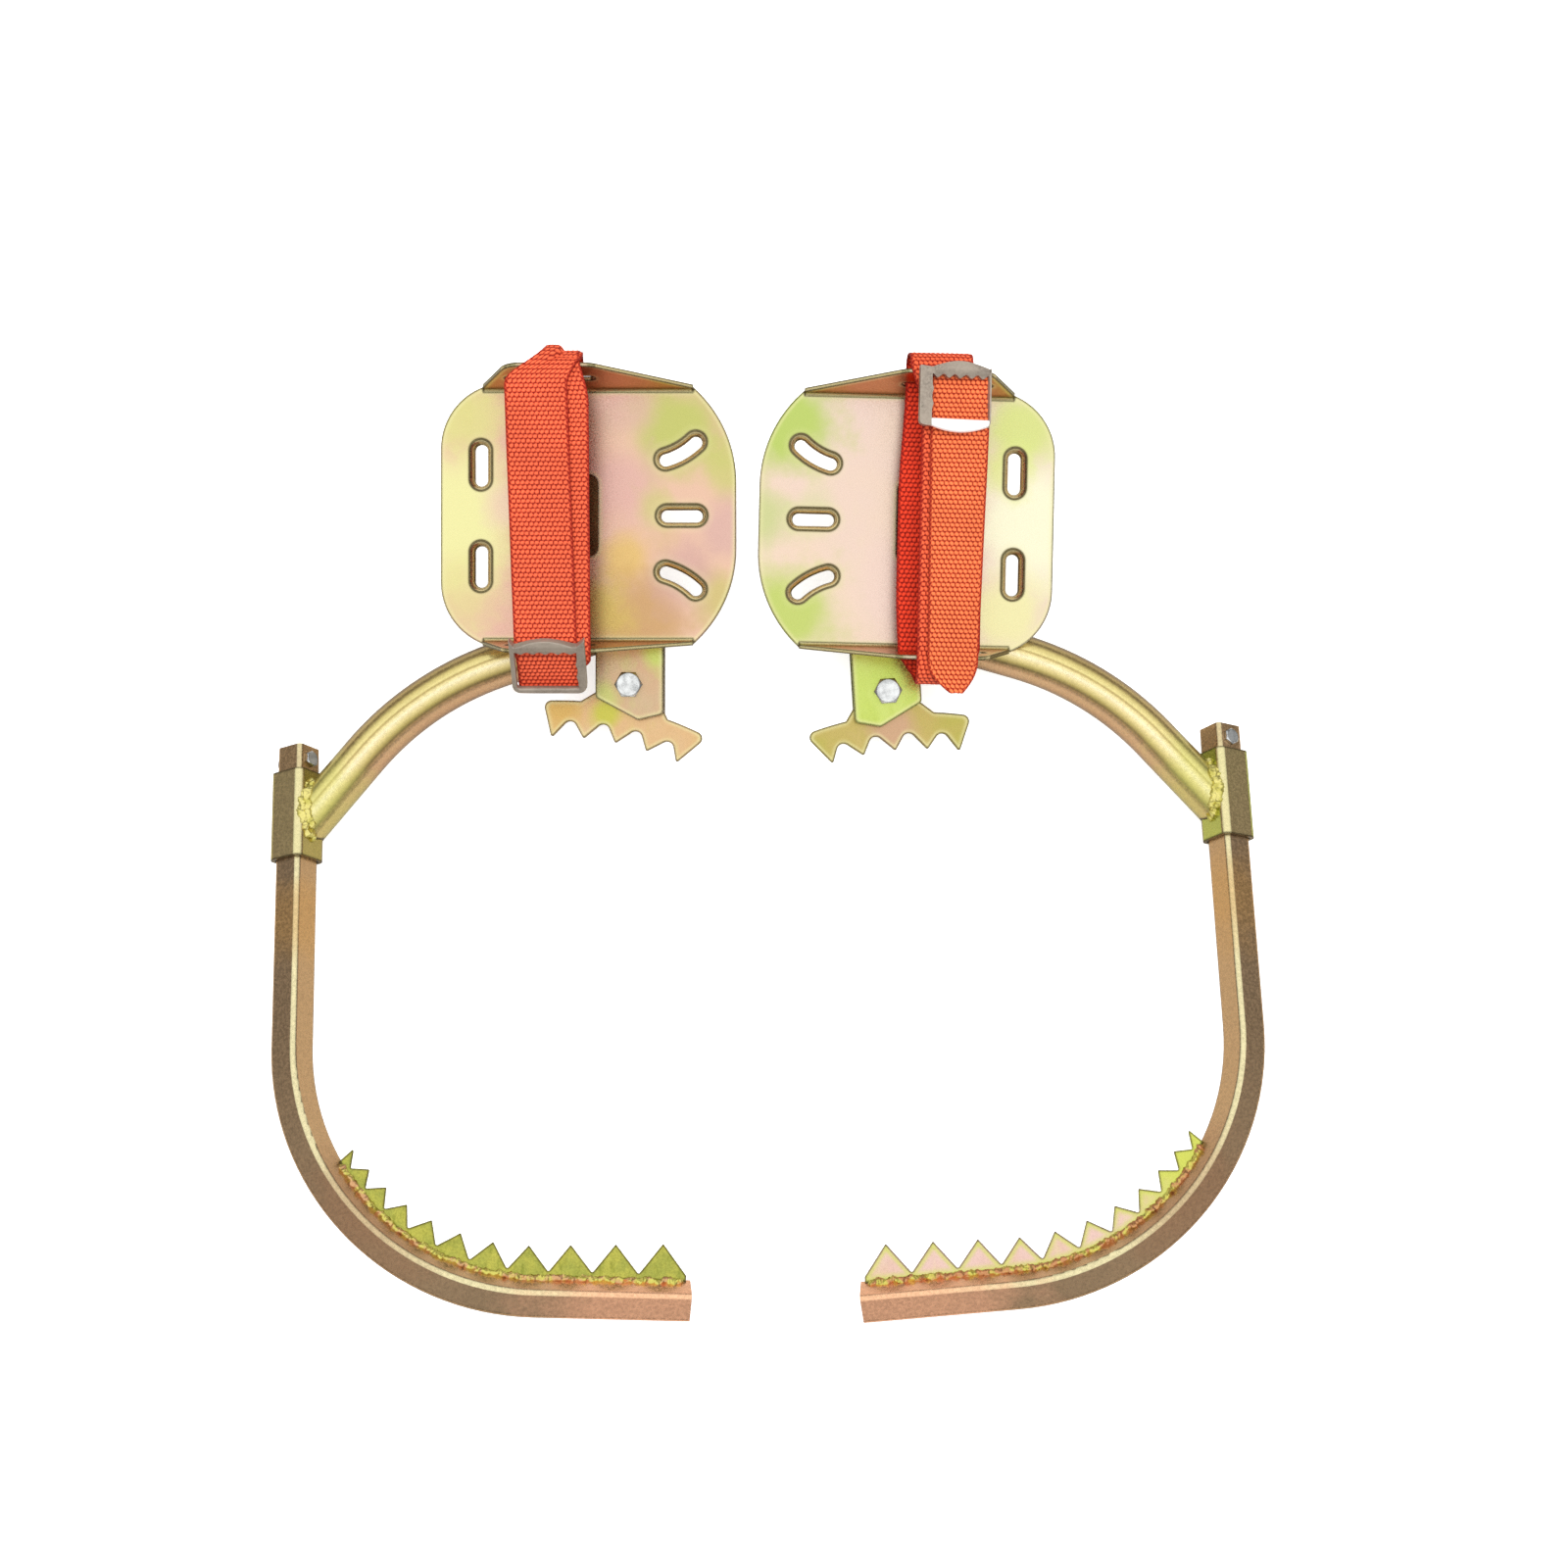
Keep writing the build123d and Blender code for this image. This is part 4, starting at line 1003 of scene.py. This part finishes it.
# Painted highlight, shade and reflection bands across the arm tube
TUBE_FACING_SHADE = [(-1, paint(150, 110, 75)), (-0.88, paint(206, 160, 120)), (-0.66, paint(226, 182, 140)),
              (-0.57, paint(208, 166, 116)), (-0.5, paint(134, 110, 64)), (-0.38, paint(180, 162, 92)),
              (-0.2, paint(230, 212, 148)), (-0.02, paint(250, 238, 196)), (0.12, paint(240, 224, 162)),
              (0.22, paint(176, 154, 92)), (0.3, paint(236, 222, 150)), (0.5, paint(216, 198, 124)),
              (0.64, paint(152, 126, 76)), (0.74, paint(200, 174, 112)), (0.88, paint(132, 102, 62)),
              (1, paint(110, 82, 50))]


def square_facing_shade(back, inner, outer, ridge_highlight):
    """Painted shade and highlights of a square tube on edge, by how its skin is turned: its back, its inner face,
    its outer face and its front edge.
    """
    return [(-1, back), (0.3, back), (0.5, inner), (0.66, inner), (0.73, outer), (0.795, outer), (0.84, ridge_highlight),
            (1, ridge_highlight)]


def dabs_at(place, *dabs):
    """Dabs of colour given as (x, y, z, reach, colour) in millimetres of a place, ready for a finish."""
    return [(tuple(place @ (Vector((x, y, z)) * MM)), reach, colour) for x, y, z, reach, colour in dabs]


def sheet_finish(side):
    """Finish of the foot plate: pale pink, with cream, lime and amber dabs, and painted shade and highlights on its
    lips, fillets and flanges.
    """
    place = plate_place(side)
    if side == "left":
        colours = (paint(234, 188, 168), paint(238, 198, 172), paint(222, 190, 140))
        dabs = dabs_at(
            place, (-90, 0, 0, 70, paint(244, 241, 172, 0.95)), (-78, 62, 0, 36, paint(226, 228, 140, 0.7)),
            (-80, -50, 0, 34, paint(232, 226, 150, 0.6)), (-52, 6, 0, 22, paint(242, 208, 188, 0.7)),
            (58, 56, 0, 46, paint(198, 204, 112, 0.9)), (92, 30, 0, 28, paint(204, 208, 116, 0.7)),
            (94, -8, 0, 32, paint(222, 180, 172, 0.7)), (24, -28, 0, 24, paint(232, 196, 108, 0.75)),
            (34, -66, 0, 44, paint(206, 164, 106, 0.8)), (6, -60, 0, 30, paint(220, 194, 104, 0.8)),
            (84, -52, 0, 26, paint(206, 196, 112, 0.7)), (22, 20, 0, 34, paint(230, 182, 174, 0.7)),
            (24, 70, 0, 26, paint(230, 186, 174, 0.7)), (44, 6, 0, 18, paint(206, 206, 122, 0.6)),
            (62, -40, 0, 30, paint(216, 172, 164, 0.75)))
    else:
        colours = (paint(241, 214, 202), paint(244, 218, 196), paint(238, 224, 186))
        dabs = dabs_at(
            place, (-84, 0, 0, 66, paint(254, 250, 216, 0.95)), (78, 60, 0, 46, paint(188, 212, 100, 0.9)),
            (76, -62, 0, 48, paint(196, 214, 108, 0.9)), (97, 0, 0, 32, paint(206, 214, 146, 0.85)),
            (60, 4, 0, 24, paint(216, 220, 160, 0.5)), (-74, 62, 0, 40, paint(216, 230, 126, 0.8)),
            (-64, 34, 0, 24, paint(222, 234, 124, 0.6)), (10, -40, 0, 40, paint(244, 214, 204, 0.5)),
            (-66, -58, 0, 40, paint(244, 240, 172, 0.8)))
    # The plate's front, the axis of its painted shade and highlights
    axis = tuple(place.to_3x3() @ Vector((0, 0, 1)))
    return plated(f"{side}_plated_sheet", colours, patches=dabs, turned=(axis, SHEET_FACING_SHADE), **SHEET_SKIN)


def tube_finish(side):
    """Finish of the arm: painted highlight and shade bands along the tube, by how its skin is turned, and a lime
    stain near the sleeve.
    """
    across = ARM_HEADING + ARM_TURN / 2 - pi / 2
    axis = tuple(iron_place(side).to_3x3() @ Vector((cos(across), sin(across), 0)))
    # The tube's painted highlight and shade bands
    turns = [(turn, colour[:3] + (TUBE_SHARE,)) for turn, colour in TUBE_FACING_SHADE]
    stains = dabs_at(hook_place(side), (20, 6, 0, 50, paint(208, 210, 112, 0.5)))
    return plated(f"{side}_plated_tube", (HONEY, KHAKI, LIME), turned=(axis, turns), stains=stains, **TUBE_SKIN)


def square_finishes(side):
    """Finishes of the sleeve and of the hook bar, with painted shade and highlights by how their faces are turned;
    the bar has warm stains on its leg, bend and upper end.
    """
    hook = hook_place(side)
    axis = tuple(hook.to_3x3() @ Vector((0, 0, 1)))
    inner = paint(184, 166, 96, 0.9) if side == "left" else paint(190, 196, 96, 0.9)
    # Sleeve faces: painted shade on the back, a painted highlight along the front edge
    turns = square_facing_shade(paint(150, 126, 84, 0.8), inner, paint(180, 158, 114, 0.9), paint(240, 230, 174, 0.9))
    sleeve = plated(f"{side}_plated_sleeve", (KHAKI, OLIVE, HONEY), turned=(axis, turns), **SLEEVE_SKIN)
    leg_x = HOOK_RADIUS * (1 - cos(HOOK_TURN)) + HOOK_LEG / 2 * sin(HOOK_TURN)
    leg_y = -BAR_STRAIGHT - HOOK_RADIUS * sin(HOOK_TURN) - HOOK_LEG / 2 * cos(HOOK_TURN)
    bend_x = HOOK_RADIUS * (1 - cos(HOOK_TURN / 2))
    bend_y = -BAR_STRAIGHT - HOOK_RADIUS * sin(HOOK_TURN / 2)
    stains = dabs_at(hook, (leg_x + 30, leg_y - 20, 0, 116, paint(255, 190, 150, 0.8)),
                     (bend_x + 12, bend_y + 8, 4, 62, paint(170, 124, 92, 0.5)),
                     (0, 40, 0, 26, paint(190, 154, 106, 0.5)), (4, -70, 4, 40, paint(214, 164, 96, 0.5)))
    colours = (paint(172, 134, 94), paint(190, 150, 106), paint(150, 124, 88))
    # Bar faces: painted shade on the back, a painted highlight along the front edge
    turns = square_facing_shade(paint(150, 122, 88, 0.7), paint(206, 168, 122, 0.85), paint(164, 138, 108, 0.85),
                         paint(236, 226, 178, 0.9))
    bar = plated(f"{side}_hook_steel", colours, turned=(axis, turns), stains=stains, **BAR_SKIN)
    return sleeve, bar


def left_toothed():
    """Finishes of the left iron's tooth strip, cheeks and jaw."""
    place = iron_place("left")
    strip = plated("left_tooth_steel", (OLIVE, paint(196, 192, 88), paint(142, 148, 58)), 90.0,
                   rims=((2.6, 8.0, paint(208, 208, 112, 0.6)), PAINTED_EDGE_SHADE), grain=700, depth=0.2, tone=(0.76, 1.12))
    patches = dabs_at(place, (8, -118, -5, 17, paint(206, 212, 124, 0.8)), (44, -90, -5, 13, LIME))
    cheek = plated("left_cheek_steel", (paint(216, 178, 142), paint(214, 186, 150), paint(206, 200, 132)),
                   patches=patches, **CUT_SKIN)
    patches = dabs_at(place, (10, -128, -15, 15, paint(204, 202, 84, 0.9)), (-20, -124, -15, 20, AMBER))
    jaw = plated("left_jaw_steel", (paint(228, 188, 138), paint(230, 194, 150), paint(224, 196, 124)),
                 patches=patches, **CUT_SKIN)
    return strip, cheek, jaw


def right_toothed():
    """Finishes of the right iron's tooth strip, lime about its first tooth, and of its cheeks and jaw."""
    inside = HOOK_RADIUS - 14
    first_tooth = (HOOK_RADIUS - inside * cos(STRIP_BEGIN), -BAR_STRAIGHT - inside * sin(STRIP_BEGIN), 0)
    patches = dabs_at(hook_place("right"), (*first_tooth, 78, paint(216, 222, 96, 0.95)))
    strip = plated("right_tooth_steel", (paint(240, 204, 192), paint(234, 196, 172), paint(238, 222, 172)), 30.0,
                   patches, rims=((7.0, 26.0, paint(214, 220, 104, 0.95)), PAINTED_EDGE_SHADE), grain=700, depth=0.15)
    cheek = plated("right_cheek_steel", (paint(202, 220, 108), paint(212, 226, 126), paint(196, 210, 100)),
                   **CUT_SKIN)
    at = PIVOT["right"]
    patches = dabs_at(iron_place("right"), (at.x - 2, at.y - 24, at.z, 26, paint(214, 170, 142, 0.85)))
    jaw = plated("right_jaw_steel", (paint(202, 182, 108), paint(194, 184, 96), paint(212, 186, 124)),
                 patches=patches, **CUT_SKIN)
    return strip, cheek, jaw


def finishes(side):
    """Finishes of one iron's pieces."""
    sleeve, bar = square_finishes(side)
    strip, cheek, jaw = left_toothed() if side == "left" else right_toothed()
    # The window's backing is painted dark brown: painted shade inside the window
    shade = plated(f"{side}_window_shade_steel", (paint(96, 70, 46), paint(118, 90, 58), paint(82, 60, 40)), 30.0)
    return {"foot_plate": sheet_finish(side), "window_backing": shade, "arm_tube": tube_finish(side),
            "sleeve": sleeve, "hook_bar": bar, "hook_tooth_strip": strip, "front_cheek": cheek, "rear_cheek": cheek,
            "jaw": jaw}


# Its dark edge band is painted shade along the edges of the bolts and small parts
bright_zinc = bare_metal("bright_zinc", paint(242, 244, 243), paint(104, 107, 109), scale=2400, rough=(0.08, 0.2),
                         metallic=1.0, depth=0.2, rim=(1.6, 9.0, paint(88, 89, 87)))
cast_zinc = bare_metal("cast_zinc", paint(162, 150, 136), paint(112, 103, 94), scale=700, rough=(0.36, 0.6),
                       metallic=0.6, depth=0.5, rim=(0.9, 2.6, paint(214, 206, 192)))
polished_zinc = bare_metal("polished_zinc", paint(250, 251, 250), paint(232, 234, 234), scale=500, rough=(0.1, 0.2),
                           metallic=0.5, depth=0.05)
weld_gold = weld_finish("weld_gold", paint(232, 220, 134), paint(206, 196, 100), paint(112, 84, 42), 0.56)
weld_brown = weld_finish("weld_brown", paint(204, 146, 100), paint(214, 206, 100), paint(110, 66, 40), 0.54)
weld_green = weld_finish("weld_green", paint(214, 206, 104), paint(212, 164, 118), paint(116, 88, 46), 0.56)

for side in SIDES:
    worn = finishes(side)
    for node, cad in frame["nodes"].items():
        if node.startswith(side):
            cad.data.materials.clear()
            cad.data.materials.append(worn.get(node[len(side) + 1:], bright_zinc))

# Painted shade of the back run, under the front run
SHADED_RED = paint(250, 154, 140, 0.86)
# Each webbing: its darkest red is painted shade in the weave's grooves
left_web = webbing("left_webbing", paint(124, 20, 7), paint(234, 100, 64), paint(150, 30, 14), SHADED_RED)
right_web = webbing("right_webbing", paint(124, 18, 6), paint(232, 98, 60), paint(150, 28, 12), SHADED_RED)
tail_web = webbing("right_tail_webbing", paint(128, 26, 8), paint(236, 116, 68), paint(150, 36, 14), SHADED_RED)

lay(left_loop(), plate_place("left"), "left_frame", "webbing", left_web, "left_strap")
lay(left_over(), plate_place("left"), "left_frame", "webbing", left_web)
lay(right_loop(), plate_place("right"), "right_frame", "webbing", right_web, "right_strap")
lay(right_tail(), plate_place("right"), "right_frame", "webbing", tail_web, "right_strap_tail")


def lay_buckle(side):
    """Casts one buckle and sets it on its strap."""
    seat, body = plate_place(side) @ buckle_seat(side), f"{side}_frame"
    lay(buckle_frame(f"{side}_cast_frame", side), seat, body, "cast_buckle", cast_zinc, f"{side}_buckle_frame")
    if side == "left":
        bar, bar_finish = left_buckle_bar("left_cast_bar"), cast_zinc
    else:
        bar, bar_finish = right_buckle_bar("right_cast_bar"), polished_zinc
    lay(bar, seat, body, "cast_buckle", bar_finish, f"{side}_buckle_bar")


# Beads round the sleeve: first and last turn from the arm's front, distance off the sleeve and radius
SLEEVE_BEADS = ((-0.9, 1.7, 0.2, 3.3), (-0.5, 1.3, 4.4, 2.5), (1.9, 4.6, 0.4, 2.6))
SLEEVE_SEED, STRIP_SEED, CHEEK_SEED, PLATE_SEED = 1.7, 4.1, 7.3, 9.9
LUMPY, EVEN = 0.7, 0.3
AS_MADE = Matrix.Identity(4)


def lay_welds(side):
    """Runs the weld beads of one iron along its seams."""
    body, hook = f"{side}_frame", f"{side}_hook"
    for k, (first, last, back_off, size) in enumerate(SLEEVE_BEADS):
        path = sleeve_weld_path(side, (first, last), back_off)
        bead = weld_bead(f"{side}_sleeve_weld_{k + 1}", path, size, SLEEVE_SEED + k, LUMPY, flat=0.8, pitch=4.4)
        lay(bead, AS_MADE, body, "plated_tube", weld_gold)
    for k, front in enumerate((True, False)):
        bead = weld_bead(f"{side}_strip_weld_{k + 1}", strip_weld_path(side, front), 2.3, STRIP_SEED + k, LUMPY)
        lay(bead, AS_MADE, hook, "tooth_steel", weld_green if side == "left" else weld_brown)
    for k, level in enumerate((CHEEK_FRONT_Z, CHEEK_BACK_Z)):
        bead = weld_bead(f"{side}_cheek_weld_{k + 1}", cheek_weld_path(side, level), 2.2, CHEEK_SEED + k, EVEN)
        lay(bead, AS_MADE, body, "plated_tube", weld_gold)
    for k, edge in enumerate((1, -1)):
        bead = weld_bead(f"{side}_plate_weld_{k + 1}", plate_weld_path(side, edge), 2.4, PLATE_SEED + k, EVEN)
        lay(bead, AS_MADE, body, "plated_sheet", weld_green)


for side in SIDES:
    lay_buckle(side)
    lay_welds(side)


# Floor, light and camera

# Sizes of the stage in metres
FLOOR_SIZE, FLOOR_DROP = 8, 0.0004
FLOOR_PALE, FLOOR_MIRRORED = (0.92, 0.92, 0.92, 1), (0.5, 0.49, 0.47, 1)
FLOOR_GLOW = 0.55
SKY_LOW, SKY_HIGH, SKY_SEEN = 0.26, 1.08, 0.95
CAMERA_FROM_PLATE = Vector((0.127, -0.1745, 1.4153))


def pale_floor():
    """Pale floor, dimmer where the steel mirrors it, and lit so that the shadows on it stay faint."""
    start_clean()
    bpy.ops.mesh.primitive_plane_add(size=FLOOR_SIZE, location=(0, 0, -FLOOR_DROP))
    floor = bpy.context.object
    floor.name = "floor"
    finish, bench, shader = new_finish("pale_floor")
    rays = bench.put("LightPath").outputs
    bench.fill(shader, {"Base Color": bench.mix(rays["Is Glossy Ray"], FLOOR_PALE, FLOOR_MIRRORED),
                        "Roughness": 0.9, "Specular IOR Level": 0.1, "Emission Color": (1, 1, 1, 1),
                        "Emission Strength": bench.math("MULTIPLY", rays["Is Camera Ray"], FLOOR_GLOW)})
    floor.data.materials.append(finish)


def studio_sky():
    """Soft tent of light: bright overhead, dimmer towards the horizon, plain pale where the camera sees it."""
    world = bpy.data.worlds.new("tent")
    bpy.context.scene.world = world
    world.use_nodes = True
    bench = Bench(world.node_tree)
    direction = bench.put("TexCoord").outputs["Generated"]
    height = bench.put("SeparateXYZ", {0: direction}).outputs["Z"]
    level = bench.spread(height, 0.2, 0.7, SKY_LOW, SKY_HIGH)
    seen = bench.put("LightPath").outputs["Is Camera Ray"]
    strength = bench.put("Mix", {0: seen, 2: level, 3: SKY_SEEN}, data_type="FLOAT").outputs[0]
    bench.fill(world.node_tree.nodes["Background"], {"Color": (1, 1, 1, 1), "Strength": strength})


def soft_light(name, spot, aim, size, watts, seen_in_gloss):
    """Round area light at a spot, turned to its aim."""
    lamp = bpy.data.lights.new(name, "AREA")
    lamp.shape, lamp.size, lamp.energy = "DISK", size, watts
    holder = bpy.data.objects.new(name, lamp)
    bpy.context.scene.collection.objects.link(holder)
    holder.location = spot
    holder.rotation_euler = (Vector(aim) - Vector(spot)).to_track_quat("-Z", "Y").to_euler()
    holder.visible_glossy = seen_in_gloss


def photo_camera():
    """Camera that looks square at the left tread, as in the photograph."""
    lens = bpy.data.cameras.new("camera")
    lens.lens, lens.sensor_width = 50, 36
    camera = bpy.data.objects.new("camera", lens)
    bpy.context.scene.collection.objects.link(camera)
    place = iron_place("left")
    view = place.to_3x3().to_4x4()
    view.translation = place @ CAMERA_FROM_PLATE
    camera.matrix_world = view
    bpy.context.scene.camera = camera


pale_floor()
studio_sky()
soft_light("fill", spot=(0.1, 0.1, 2.4), aim=(0, 0, 0), size=2.4, watts=60, seen_in_gloss=False)
photo_camera()
bpy.context.scene.view_settings.view_transform = "Standard"
